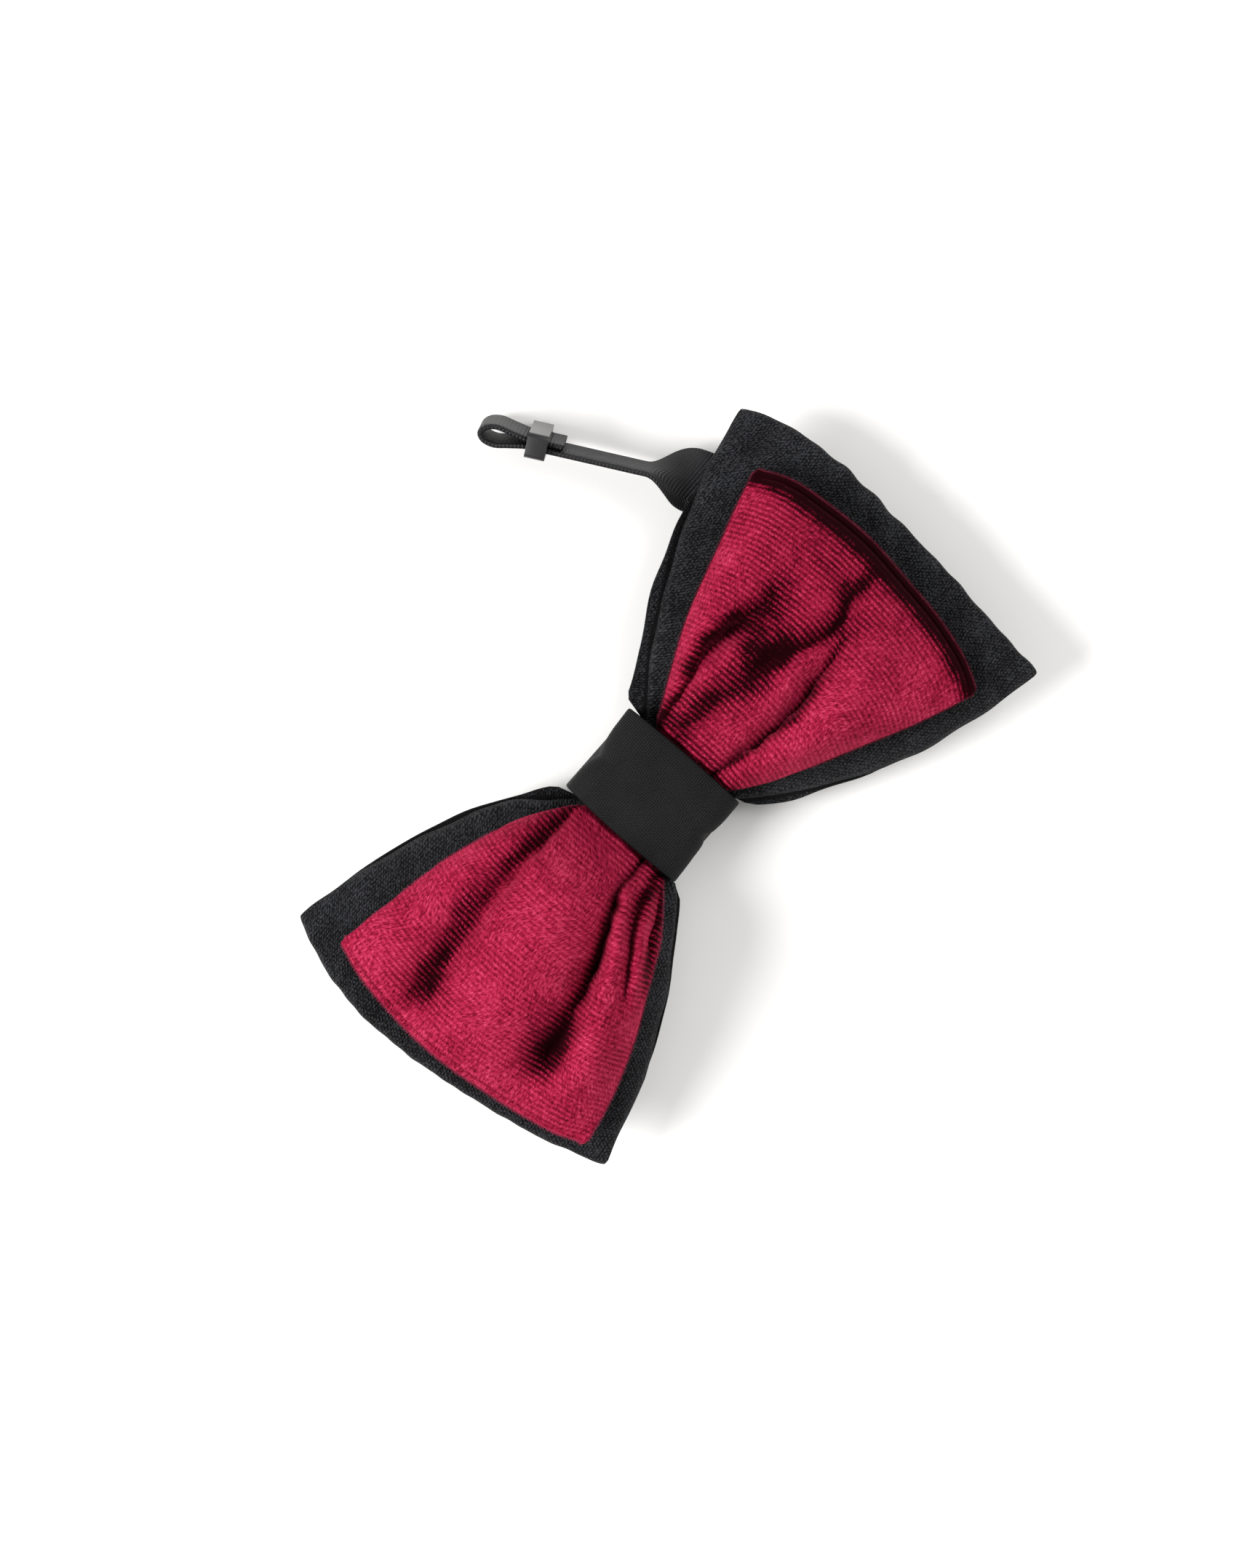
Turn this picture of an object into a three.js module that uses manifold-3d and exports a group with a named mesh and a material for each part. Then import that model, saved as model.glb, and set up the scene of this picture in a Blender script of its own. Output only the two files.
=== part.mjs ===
// A pre-tied double bow tie with an adjustable neck strap folded away behind it.
// Millimetres. X runs along the bow, Y up its height, +Z out of its front.
// The origin is on the flat back face of the knot, which is the face it rests on.
import * as THREE from 'three';
import { mergeVertices } from 'three/addons/utils/BufferGeometryUtils.js';
import Module from 'manifold-3d';

// ---- Clearances ----
const CLEARANCE = 0.3;

// ---- Cloth and thread thicknesses ----
const WRAP_CLOTH = 0.8;
const WRAP_INTERLINING = 0.4;
const WRAP_TURN_IN = 1.6;
const LOWER_CLOTH = 0.7;
const UPPER_CLOTH = 0.9;
const INTERLINING = 0.4;
const INTERLINING_SHARE = 0.94;
const THREAD = 0.4;
const STITCH = 1.2;
const SEAM_STITCHES = 15;
const HOOK_STITCHES = 11;

// ---- Knot ----
const KNOT_WIDTH = 17;
const KNOT_HEIGHT = 23.4;
const KNOT_CORNER = 3.5;
const LAP_EDGE = 3;
const BINDING_WIDTH = 3;
const BINDING_CORNER = 1;
const KNOT_PLEAT = 0.4;
const LOWER_PLEATS = { halfWaves: 3, shift: 0.6 };
const UPPER_PLEATS = { halfWaves: 2, shift: 0.4 };

// ---- Wings: how far each reaches from the knot's middle, and its outer corners ----
const LOWER_LEFT = { span: 58.8, topX: 52.8, bottomX: 50.6 };
const LOWER_RIGHT = { span: 61.2, topX: 57.1, bottomX: 57.0 };
const LOWER_TOP = 31.0;
const LOWER_BOTTOM = 34.5;
const LOWER_CURVE = { start: 1.3, power: 0.7 };
const LOWER_PUFF = 1.8;
const LOWER_PLEAT = 0.8;
const PLEAT_GROWTH_END = 1 / 3;
const PLEAT_EDGE_SHARE = 0.5;
const FLARE_END = 0.32;
const PUFF_SQUARENESS = 0.8;
const LEAST_PUFF = 0.1;

const UPPER_LEFT = { span: 55.7, topX: 51.0, bottomX: 49.6 };
const UPPER_RIGHT = { span: 55.2, topX: 51.2, bottomX: 47.6 };
const UPPER_TOP = 22.8;
const UPPER_BOTTOM = 28.9;
const UPPER_WAIST_TOP_INSET = 3;
const UPPER_WAIST_BOTTOM_INSET = 1.3;
const UPPER_CURVE = { start: 1.4, power: 1 };
const UPPER_PUFF = 5;

// ---- Neck strap: the strip, and where it folds over itself behind the wings ----
const STRAP_WIDTH = 10;
const STRAP_CLOTH = 0.9;
const STRAP_LAYER_GAP = 0.7;
const RIGHT_FOLD = 43;
const LEFT_FOLD = 45;
const FOLD_BELOW_TOP = 9;
const FOLD_ABOVE_BOTTOM = 8.5;
const HOOK_LANE_GAP = 1.2;

// ---- End loop, which lies out beyond the wing's edge on its own edge ----
const END_TILT = THREE.MathUtils.degToRad(77);
const END_HEADING = THREE.MathUtils.degToRad(118.4);
const END_ACROSS = -18.3;
const END_BEYOND = 38.6;
const END_STRAIGHT = 27;
const TWIST_START = 0.42;
const TWIST_END = 0.8;
const TWIST_LEAD = 4;
// How the strap comes out from the stack: across, up past its top fold, and back from it.
const WAY_OUT = [[0, -4, 0], [0, 1, 0], [-0.8, 5.3, -1.0], [-2.4, 9.3, -1.4]];
const LOOP_LENGTH = 7.6;
const LOOP_BULGE = 0.9;
const LOOP_TIP = 0.7;
// The loop's near side: how far back along its length, and how much of its bulge.
const LOOP_SHAPE = [[0.65, 0.55], [0.33, 1]];
const LOOP_TIP_BULGE = 0.45;

// ---- Slide that holds the end loop shut ----
const SLIDE_LENGTH = 3.4;
const SLIDE_FROM_END = 9.6;
const SLIDE_RAIL = 1.5;
const SLIDE_WALL = 0.8;
const SLIDE_SIDE_CLEARANCE = 0.4;
const SLIDE_CORNER = 0.3;
const TAIL_BEYOND = 2.6;

// ---- Hook ----
const HOOK_PLATE = 1.0;
const HOOK_BAR = 1.4;
const HOOK_RAIL = 1.2;
const HOOK_SLOT = 2.3;
const HOOK_REACH = 5.6;
const HOOK_TONGUE = 6;
const HOOK_MOUTH = 1.6;
const HOOK_RETURN = 4;
const HOOK_LOOSE = 0.2;
const HOOK_CORNER = 0.6;
const HOOK_BEYOND = 11.3;
// How the strap drops from the stack to the hook: along it, and how far down it has come.
const DROP_PATH = [[0.3, 0], [2.3, 0.24], [4.8, 0.84], [6.8, 1]];
// The strap's turned-in end: how far back from the hook, and how closed on the strap.
const TURN_IN_PATH = [[2.2, 0.2], [3.8, 0.85], [5, 1], [9, 1]];

// ---- Heights of the layers at the knot, counted up from the back ----
const lapTop = 2 * WRAP_CLOTH;
const strapLevel = lapTop + CLEARANCE + STRAP_CLOTH / 2;
const lowerBindingBottom = strapLevel + STRAP_CLOTH / 2 + CLEARANCE;
const lowerBack = lowerBindingBottom + THREAD + CLEARANCE + KNOT_PLEAT + LOWER_CLOTH / 2;
const lowerLoop = LOWER_CLOTH + 2 * CLEARANCE + INTERLINING;
const lowerBindingTop = lowerBack + lowerLoop + LOWER_CLOTH / 2 + KNOT_PLEAT + CLEARANCE + THREAD;
const upperBindingBottom = lowerBindingTop + CLEARANCE;
const upperBack = upperBindingBottom + THREAD + CLEARANCE + KNOT_PLEAT + UPPER_CLOTH / 2;
const upperLoop = UPPER_CLOTH + 2 * CLEARANCE + INTERLINING;
const upperBindingTop = upperBack + upperLoop + UPPER_CLOTH / 2 + KNOT_PLEAT + CLEARANCE + THREAD;
const wrapInterliningBottom = upperBindingTop + CLEARANCE;
const knotDepth = wrapInterliningBottom + WRAP_INTERLINING + CLEARANCE + WRAP_CLOTH;

// ---- Heights of the folded strap, and of the wings that lie over it ----
const STACKED_FOLDS = 4;
const foldHigh = LOWER_TOP - FOLD_BELOW_TOP;
const foldLow = LOWER_BOTTOM - FOLD_ABOVE_BOTTOM;
const hookLane = STRAP_WIDTH + HOOK_LANE_GAP;
const strapFold = (STRAP_CLOTH + STRAP_LAYER_GAP) / 2;
const strapStackTop = strapLevel + STACKED_FOLDS * 2 * strapFold + STRAP_CLOTH / 2;
const wingLift = strapStackTop + CLEARANCE + LOWER_CLOTH / 2 + LOWER_PLEAT - lowerBack;
const lowerWaist = KNOT_HEIGHT / 2 - WRAP_CLOTH - 2 * CLEARANCE - THREAD;
const upperWaistTop = lowerWaist - UPPER_WAIST_TOP_INSET;
const upperWaistBottom = lowerWaist - UPPER_WAIST_BOTTOM_INSET;
const knotHalf = KNOT_WIDTH / 2;

// ---- Materials ----
function finish(color, roughness, metalness = 0) {
  return new THREE.MeshStandardMaterial({ color, roughness, metalness });
}

// ---- Helpers ----
function closedGeometry(points, faces) {
  let volume = 0;
  for (const [a, b, c] of faces) {
    volume += points[a].dot(points[b].clone().cross(points[c]));
  }
  const index = faces.flatMap(([a, b, c]) => (volume < 0 ? [a, c, b] : [a, b, c]));
  const geometry = new THREE.BufferGeometry();
  const positions = points.flatMap((p) => [p.x, p.y, p.z]);
  geometry.setAttribute('position', new THREE.Float32BufferAttribute(positions, 3));
  geometry.setIndex(index);
  geometry.computeVertexNormals();
  return geometry;
}

// A sheet of cloth with an even thickness: grid[i][j] are points of its middle surface,
// and normals[i][j], where given, say which way its face looks.
function sheetGeometry(grid, thickness, normals) {
  const columns = grid.length;
  const rows = grid[0].length;
  const front = [];
  const back = [];
  for (let i = 0; i < columns; i += 1) {
    for (let j = 0; j < rows; j += 1) {
      let normal = normals?.[i][j];
      if (!normal) {
        const along = new THREE.Vector3().subVectors(
          grid[Math.min(i + 1, columns - 1)][j],
          grid[Math.max(i - 1, 0)][j],
        );
        const across = new THREE.Vector3().subVectors(
          grid[i][Math.min(j + 1, rows - 1)],
          grid[i][Math.max(j - 1, 0)],
        );
        normal = along.cross(across).normalize();
      }
      front.push(grid[i][j].clone().addScaledVector(normal, thickness / 2));
      back.push(grid[i][j].clone().addScaledVector(normal, -thickness / 2));
    }
  }
  const count = columns * rows;
  const at = (i, j) => i * rows + j;
  const faces = [];
  const quad = (a, b, c, d) => faces.push([a, b, c], [a, c, d]);
  for (let i = 0; i < columns - 1; i += 1) {
    for (let j = 0; j < rows - 1; j += 1) {
      quad(at(i, j), at(i + 1, j), at(i + 1, j + 1), at(i, j + 1));
      quad(
        count + at(i, j), count + at(i, j + 1),
        count + at(i + 1, j + 1), count + at(i + 1, j),
      );
    }
    quad(at(i, 0), count + at(i, 0), count + at(i + 1, 0), at(i + 1, 0));
    const last = rows - 1;
    quad(at(i, last), at(i + 1, last), count + at(i + 1, last), count + at(i, last));
  }
  for (let j = 0; j < rows - 1; j += 1) {
    const last = columns - 1;
    quad(at(0, j), at(0, j + 1), count + at(0, j + 1), count + at(0, j));
    quad(at(last, j), count + at(last, j), count + at(last, j + 1), at(last, j + 1));
  }
  return closedGeometry([...front, ...back], faces);
}

function smooth(value) {
  const t = Math.min(Math.max(value, 0), 1);
  return t * t * (3 - 2 * t);
}

function mix(a, b, t) {
  return a + (b - a) * t;
}

function bell(distance, width) {
  return Math.exp(-((distance / width) ** 2));
}

// ---- Wing shape ----
// u runs from the knot's side (0) to the wing's outer edge (1), and v from its bottom edge
// (-1) to its top edge (1). Inside the knot, u is below 0 and reaches -1 at its middle.
function edgeRise(u, curve) {
  return (1 - (1 - Math.min(Math.max(u, 0), 1)) ** curve.start) ** curve.power;
}

function wingPlace(bow, wing, u, v) {
  const bulge = wing.span - (wing.topX + wing.bottomX) / 2;
  const corner = mix(wing.bottomX, wing.topX, (v + 1) / 2);
  const edge = corner + bulge * (1 - v * v) - bow.loop / 2 - bow.cloth / 2;
  const x = u < 0 ? knotHalf * (1 + u) : mix(knotHalf, edge, u);
  const rise = edgeRise(u, bow.curve);
  const top = mix(bow.waistTop, bow.top, rise);
  const bottom = mix(bow.waistBottom, bow.bottom, rise);
  return { x, y: mix(-bottom, top, (v + 1) / 2) };
}

function flare(u) {
  return wingLift * smooth(u / FLARE_END);
}

function puff(u) {
  return Math.sin(Math.PI * Math.min(Math.max(u, 0), 1)) ** PUFF_SQUARENESS;
}

function pleatWave(pleats, v) {
  return Math.cos(pleats.halfWaves * Math.PI * v + pleats.shift);
}

function lowerPleat(u, v) {
  const grown = mix(KNOT_PLEAT, LOWER_PLEAT, smooth(u / PLEAT_GROWTH_END));
  const size = grown * mix(1, PLEAT_EDGE_SHARE, smooth(2 * u - 1));
  return size * pleatWave(LOWER_PLEATS, v);
}

function upperPleat(v) {
  return KNOT_PLEAT * pleatWave(UPPER_PLEATS, v);
}

// Each valley runs from v = near at the knot to v = far at the outer edge.
const LEFT_VALLEYS = [
  { near: 0.85, far: 0.35, depth: 0.55, width: 0.22 },
  { near: -0.75, far: -0.5, depth: 0.85, width: 0.16 },
];
const RIGHT_VALLEYS = [
  { near: 0.8, far: 0.5, depth: 0.55, width: 0.2 },
  { near: -0.75, far: -0.1, depth: 0.8, width: 0.2 },
];

function dome(u, v, valleys) {
  let height = 1;
  for (const valley of valleys) {
    const line = mix(valley.near, valley.far, smooth(u));
    height -= valley.depth * bell(v - line, valley.width);
  }
  return Math.max(height, LEAST_PUFF);
}

function lowerBackHeight(u, v) {
  return lowerBack + flare(u) + lowerPleat(u, v);
}

function lowerFrontHeight(u, v) {
  return lowerBackHeight(u, v) + lowerLoop + LOWER_PUFF * puff(u);
}

function upperBackHeight(u, v) {
  return upperBack + flare(u) + LOWER_PUFF * puff(u) + upperPleat(v);
}

function upperFrontHeight(u, v, valleys) {
  return upperBackHeight(u, v) + upperLoop + UPPER_PUFF * puff(u) * dome(u, v, valleys);
}

const lowerBow = {
  cloth: LOWER_CLOTH,
  loop: lowerLoop,
  top: LOWER_TOP,
  bottom: LOWER_BOTTOM,
  waistTop: lowerWaist,
  waistBottom: lowerWaist,
  curve: LOWER_CURVE,
  back: lowerBackHeight,
  front: lowerFrontHeight,
  wings: [{ ...LOWER_LEFT, side: -1 }, { ...LOWER_RIGHT, side: 1 }],
};

const upperBow = {
  cloth: UPPER_CLOTH,
  loop: upperLoop,
  top: UPPER_TOP,
  bottom: UPPER_BOTTOM,
  waistTop: upperWaistTop,
  waistBottom: upperWaistBottom,
  curve: UPPER_CURVE,
  back: upperBackHeight,
  front: upperFrontHeight,
  wings: [
    { ...UPPER_LEFT, side: -1, valleys: LEFT_VALLEYS },
    { ...UPPER_RIGHT, side: 1, valleys: RIGHT_VALLEYS },
  ],
};

const WING_STEPS = 11;
const KNOT_STEPS = 3;
const ROWS = 13;
const FOLD_STEPS = 5;
const CROWDING = 1.25;

function wingStations() {
  const stations = [];
  for (let i = 0; i < KNOT_STEPS; i += 1) {
    stations.push(i / KNOT_STEPS - 1);
  }
  for (let i = 0; i <= WING_STEPS; i += 1) {
    stations.push((i / WING_STEPS) ** CROWDING);
  }
  return stations;
}

function column(place) {
  return Array.from({ length: ROWS }, (_, j) => place((2 * j) / (ROWS - 1) - 1));
}

function plyColumn(bow, wing, u, height) {
  return column((v) => {
    const { x, y } = wingPlace(bow, wing, u, v);
    return new THREE.Vector3(wing.side * x, y, height(u, v, wing.valleys));
  });
}

// The fold where the back ply turns into the front ply, a half circle across the outer edge.
function foldColumns(bow, wing) {
  const columns = [];
  for (let k = 1; k < FOLD_STEPS; k += 1) {
    const angle = (Math.PI * k) / FOLD_STEPS;
    columns.push(column((v) => {
      const { x, y } = wingPlace(bow, wing, 1, v);
      const low = bow.back(1, v, wing.valleys);
      const high = bow.front(1, v, wing.valleys);
      const radius = (high - low) / 2;
      const out = radius * Math.sin(angle);
      return new THREE.Vector3(wing.side * (x + out), y, low + radius * (1 - Math.cos(angle)));
    }));
  }
  return columns;
}

// The bow's strip: from its end at the middle of the back, out round one wing, across the
// front, round the other wing and back to the middle.
function bowStripGeometry(bow) {
  const [left, right] = bow.wings;
  const stations = wingStations();
  const backEnds = stations.map((u) => (u === -1 ? -1 + CLEARANCE / knotHalf : u));
  const leftBack = backEnds.map((u) => plyColumn(bow, left, u, bow.back));
  const leftFront = stations.slice(1).reverse().map((u) => plyColumn(bow, left, u, bow.front));
  const rightFront = stations.map((u) => plyColumn(bow, right, u, bow.front));
  const rightBack = backEnds.toReversed().map((u) => plyColumn(bow, right, u, bow.back));
  return sheetGeometry(
    [
      ...leftBack, ...foldColumns(bow, left), ...leftFront,
      ...rightFront, ...foldColumns(bow, right).reverse(), ...rightBack,
    ],
    bow.cloth,
  );
}

// The stiffener between the two plies, a little shorter and narrower than the loop.
function interliningGeometry(bow) {
  const inset = INTERLINING_SHARE;
  const stations = wingStations().map((u) => (u > inset ? inset : u));
  const height = (u, v, valleys) => bow.back(u, v, valleys) + bow.loop / 2;
  const narrow = (wing, u) => column((v) => {
    const { x, y } = wingPlace(bow, wing, u, v * inset);
    return new THREE.Vector3(wing.side * x, y, height(u, v * inset, wing.valleys));
  });
  const [left, right] = bow.wings;
  const unique = [...new Set(stations)];
  const grid = [
    ...unique.slice(1).reverse().map((u) => narrow(left, u)),
    ...unique.map((u) => narrow(right, u)),
  ];
  return sheetGeometry(grid, INTERLINING);
}

// ---- Bands round the knot ----
const ROUNDEST = 0.4975;
const TIGHTEST_CORNER = 0.2;

function roundedOutline(low, high, bottom, top, radius) {
  const shape = new THREE.Shape();
  const r = Math.min(radius, ROUNDEST * (high - low), ROUNDEST * (top - bottom));
  shape.moveTo(low + r, bottom);
  shape.lineTo(high - r, bottom);
  shape.absarc(high - r, bottom + r, r, -Math.PI / 2, 0, false);
  shape.lineTo(high, top - r);
  shape.absarc(high - r, top - r, r, 0, Math.PI / 2, false);
  shape.lineTo(low + r, top);
  shape.absarc(low + r, top - r, r, Math.PI / 2, Math.PI, false);
  shape.lineTo(low, bottom + r);
  shape.absarc(low + r, bottom + r, r, Math.PI, 1.5 * Math.PI, false);
  return shape;
}

// Extrudes an outline drawn in Y and Z along X, centred on the knot.
function alongX(shape, width, curveSegments = 6) {
  const geometry = new THREE.ExtrudeGeometry(shape, {
    depth: width, bevelEnabled: false, curveSegments,
  });
  geometry.translate(0, 0, -width / 2);
  const basis = new THREE.Matrix4().makeBasis(
    new THREE.Vector3(0, 1, 0), new THREE.Vector3(0, 0, 1), new THREE.Vector3(1, 0, 0),
  );
  return geometry.applyMatrix4(basis);
}

function bandGeometry(outer, wall, width) {
  const { low, high, bottom, top, radius } = outer;
  const shape = roundedOutline(low, high, bottom, top, radius);
  shape.holes.push(roundedOutline(
    low + wall, high - wall, bottom + wall, top - wall, Math.max(radius - wall, TIGHTEST_CORNER),
  ));
  return alongX(shape, width);
}

// The wrap laps over itself at the back: its outer end stops at LAP_EDGE.
function knotWrapGeometry() {
  const half = KNOT_HEIGHT / 2;
  const shape = new THREE.Shape();
  const r = KNOT_CORNER;
  shape.moveTo(-half + r, 0);
  shape.lineTo(LAP_EDGE, 0);
  shape.lineTo(LAP_EDGE, WRAP_CLOTH);
  shape.lineTo(half - r, WRAP_CLOTH);
  shape.absarc(half - r, WRAP_CLOTH + r, r, -Math.PI / 2, 0, false);
  shape.lineTo(half, knotDepth - r);
  shape.absarc(half - r, knotDepth - r, r, 0, Math.PI / 2, false);
  shape.lineTo(-half + r, knotDepth);
  shape.absarc(-half + r, knotDepth - r, r, Math.PI / 2, Math.PI, false);
  shape.lineTo(-half, r);
  shape.absarc(-half + r, r, r, Math.PI, 1.5 * Math.PI, false);
  shape.holes.push(roundedOutline(
    -half + WRAP_CLOTH, half - WRAP_CLOTH, lapTop, knotDepth - WRAP_CLOTH,
    r - WRAP_CLOTH,
  ));
  return alongX(shape, KNOT_WIDTH);
}

function wrapInterliningGeometry() {
  const half = KNOT_HEIGHT / 2 - KNOT_CORNER;
  const top = wrapInterliningBottom + WRAP_INTERLINING;
  const shape = roundedOutline(-half, half, wrapInterliningBottom, top, WRAP_INTERLINING / 2);
  return alongX(shape, KNOT_WIDTH - 2 * WRAP_TURN_IN);
}

function bindingGeometry(bottom, top, waistBottom, waistTop) {
  const reach = CLEARANCE + THREAD;
  return bandGeometry(
    { low: -waistBottom - reach, high: waistTop + reach, bottom, top, radius: BINDING_CORNER },
    THREAD,
    BINDING_WIDTH,
  );
}

// ---- Threads ----
function threadGeometry(points) {
  const curve = new THREE.CatmullRomCurve3(points, false, 'centripetal');
  const section = new THREE.Shape();
  section.absarc(0, 0, THREAD / 2, 0, 2 * Math.PI, false);
  return new THREE.ExtrudeGeometry(section, {
    steps: points.length * 2, extrudePath: curve, curveSegments: 3, bevelEnabled: false,
  });
}

function zigzag(count, place) {
  return Array.from({ length: count }, (_, i) => place(i / (count - 1), i % 2));
}

function seamThreadGeometry() {
  const reach = knotHalf - STITCH;
  const near = LAP_EDGE + CLEARANCE + THREAD / 2;
  const level = WRAP_CLOTH - CLEARANCE - THREAD / 2;
  return threadGeometry(zigzag(SEAM_STITCHES, (t, odd) => (
    new THREE.Vector3(mix(-reach, reach, t), near + odd * STITCH, level)
  )));
}

// ---- Neck strap ----
// The strap is one flat strip. A run is a straight stretch of it, with the direction that it
// goes in, the direction across it and the way that its face looks. A fold is a half turn
// about a crease, and keeps the strip's length and width.
const UP = new THREE.Vector3(0, 0, 1);
const DOWN = new THREE.Vector3(0, 0, -1);
const HALF_STRAP = STRAP_WIDTH / 2;
const CORNER = Math.PI / 4;
const strapPitch = STRAP_CLOTH + CLEARANCE;
const bendSteps = 6;

function pointOn(run, distance, side = 0) {
  return run.origin.clone()
    .addScaledVector(run.along, distance)
    .addScaledVector(run.across, side);
}

function station(centre, across, normal) {
  return {
    left: centre.clone().addScaledVector(across, HALF_STRAP),
    right: centre.clone().addScaledVector(across, -HALF_STRAP),
    normal: normal.clone().normalize(),
  };
}

function reflected(direction, outward) {
  return direction.clone().addScaledVector(outward, -2 * direction.dot(outward));
}

// turn is the crease's angle: 0 folds the strip straight back, and CORNER makes it turn square.
function fold(run, distance, turn, over, radius, stations) {
  const crease = pointOn(run, distance);
  const outward = run.along.clone().multiplyScalar(Math.cos(turn))
    .addScaledVector(run.across, Math.sin(turn));
  const line = run.along.clone().multiplyScalar(-Math.sin(turn))
    .addScaledVector(run.across, Math.cos(turn));
  const facing = Math.sign(run.normal.dot(over));
  for (let k = 0; k <= bendSteps; k += 1) {
    const angle = (Math.PI * k) / bendSteps;
    const bent = (side) => crease.clone()
      .addScaledVector(line, side / Math.cos(turn) - radius * angle * Math.tan(turn))
      .addScaledVector(outward, radius * Math.sin(angle))
      .addScaledVector(over, radius * (1 - Math.cos(angle)));
    stations.push({
      left: bent(HALF_STRAP),
      right: bent(-HALF_STRAP),
      normal: run.normal.clone().multiplyScalar(Math.cos(angle))
        .addScaledVector(outward, -facing * Math.sin(angle)),
    });
  }
  return {
    origin: crease.addScaledVector(over, 2 * radius).addScaledVector(outward, Math.PI * radius),
    along: reflected(run.along, outward),
    across: reflected(run.across, outward),
    normal: run.normal.clone().negate(),
  };
}

function foldAtY(run, y, stations) {
  return fold(run, Math.abs(y - run.origin.y), 0, UP, strapFold, stations);
}

function strapStart(direction) {
  return {
    origin: new THREE.Vector3(0, 0, strapLevel),
    along: new THREE.Vector3(direction, 0, 0),
    across: new THREE.Vector3(0, 1, 0),
    normal: UP.clone(),
  };
}

// From the knot's middle to the right, folded away behind the right wing.
const rightStations = [];
let run = fold(strapStart(1), RIGHT_FOLD, CORNER, UP, strapFold, rightStations);
run = foldAtY(run, -foldLow, rightStations);
run = foldAtY(run, foldHigh, rightStations);
const endRun = foldAtY(run, -foldLow, rightStations);

// The end loop's own frame: along the strap towards the loop's end, across it and out of it.
const endAlong = new THREE.Vector3(Math.cos(END_HEADING), Math.sin(END_HEADING), 0);
const endLeft = new THREE.Vector3(-endAlong.y, endAlong.x, 0);
const endAcross = endLeft.clone().multiplyScalar(Math.cos(END_TILT))
  .addScaledVector(UP, Math.sin(END_TILT));
const endNormal = endAlong.clone().cross(endAcross);
const slideAcross = STRAP_WIDTH + 2 * SLIDE_SIDE_CLEARANCE + 2 * SLIDE_RAIL;
const slideThick = strapPitch + STRAP_CLOTH + 2 * CLEARANCE + 2 * SLIDE_WALL;
const endLevel = (slideAcross / 2) * Math.sin(END_TILT) + (slideThick / 2) * Math.cos(END_TILT);
const endTip = new THREE.Vector3(
  endRun.origin.x + END_ACROSS, foldHigh + END_BEYOND, endLevel,
);

function endPoint(back, out) {
  return endTip.clone().addScaledVector(endAlong, -back).addScaledVector(endNormal, out);
}

// From the last run behind the wing, out past the wing's edge, turning onto its own edge.
const wayOut = WAY_OUT.map(([x, y, z]) => (
  new THREE.Vector3(endRun.origin.x + x, foldHigh + y, endRun.origin.z + z)
));
const ontoEnd = [endPoint(END_STRAIGHT, 0), endPoint(END_STRAIGHT - TWIST_LEAD, 0)];
const twistCurve = new THREE.CatmullRomCurve3([...wayOut, ...ontoEnd], false, 'centripetal');
const twistSteps = 12;
for (let i = 0; i <= twistSteps; i += 1) {
  const t = i / twistSteps;
  const along = twistCurve.getTangentAt(t);
  const left = UP.clone().cross(along).normalize();
  const tilt = END_TILT * smooth((t - TWIST_START) / (TWIST_END - TWIST_START));
  const across = left.multiplyScalar(Math.cos(tilt)).addScaledVector(UP, Math.sin(tilt));
  rightStations.push(station(twistCurve.getPointAt(t), across, along.cross(across)));
}

// The loop: out on the near side, round the end and back on the far side.
const nearSide = [
  [LOOP_LENGTH, 0],
  ...LOOP_SHAPE.map(([back, bulge]) => [LOOP_LENGTH * back, -LOOP_BULGE * bulge]),
  [LOOP_TIP, -LOOP_BULGE * LOOP_TIP_BULGE],
];
const farSide = nearSide.map(([back, out]) => [back, strapPitch - out]).toReversed();
const loopProfile = [[LOOP_LENGTH + 1, 0], ...nearSide, [0, strapPitch / 2], ...farSide];
const loopCurve = new THREE.CatmullRomCurve3(
  loopProfile.map(([back, out]) => endPoint(back, out)), false, 'centripetal',
);
const loopSteps = 28;
for (let i = 0; i <= loopSteps; i += 1) {
  const along = loopCurve.getTangentAt(i / loopSteps);
  rightStations.push(station(loopCurve.getPointAt(i / loopSteps), endAcross, along.cross(endAcross)));
}

// From the knot's middle to the left, folded away behind the left wing, then down to the hook.
const hookFold = HOOK_BAR / 2 + CLEARANCE + HOOK_LOOSE + STRAP_CLOTH / 2;
const hookLevel = CLEARANCE + STRAP_CLOTH / 2 + hookFold;
const leftStations = [];
run = fold(strapStart(-1), LEFT_FOLD, CORNER, UP, strapFold, leftStations);
run = foldAtY(run, -foldLow, leftStations);
run = foldAtY(run, foldHigh, leftStations);
const hookRun = fold(run, run.origin.y + hookLane, -CORNER, UP, strapFold, leftStations);
const stackEdge = run.origin.x + HALF_STRAP;
const hookX = stackEdge + HOOK_BEYOND;
const dropPoints = [...DROP_PATH, [HOOK_BEYOND, 1]].map(([x, down]) => new THREE.Vector3(
  stackEdge + x, hookRun.origin.y, mix(hookRun.origin.z, hookLevel + hookFold, down),
));
const dropCurve = new THREE.CatmullRomCurve3(dropPoints, false, 'centripetal');
const dropSteps = 10;
for (let i = 0; i < dropSteps; i += 1) {
  const t = i / dropSteps;
  const along = dropCurve.getTangentAt(t);
  leftStations.push(
    station(dropCurve.getPointAt(t), hookRun.across, along.cross(hookRun.across)),
  );
}
const hookEnd = {
  ...hookRun,
  origin: new THREE.Vector3(hookX, hookRun.origin.y, hookLevel + hookFold),
};
const turnIn = fold(hookEnd, 0, 0, DOWN, hookFold, leftStations);
const turnInLevel = hookEnd.origin.z - strapPitch;
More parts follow.
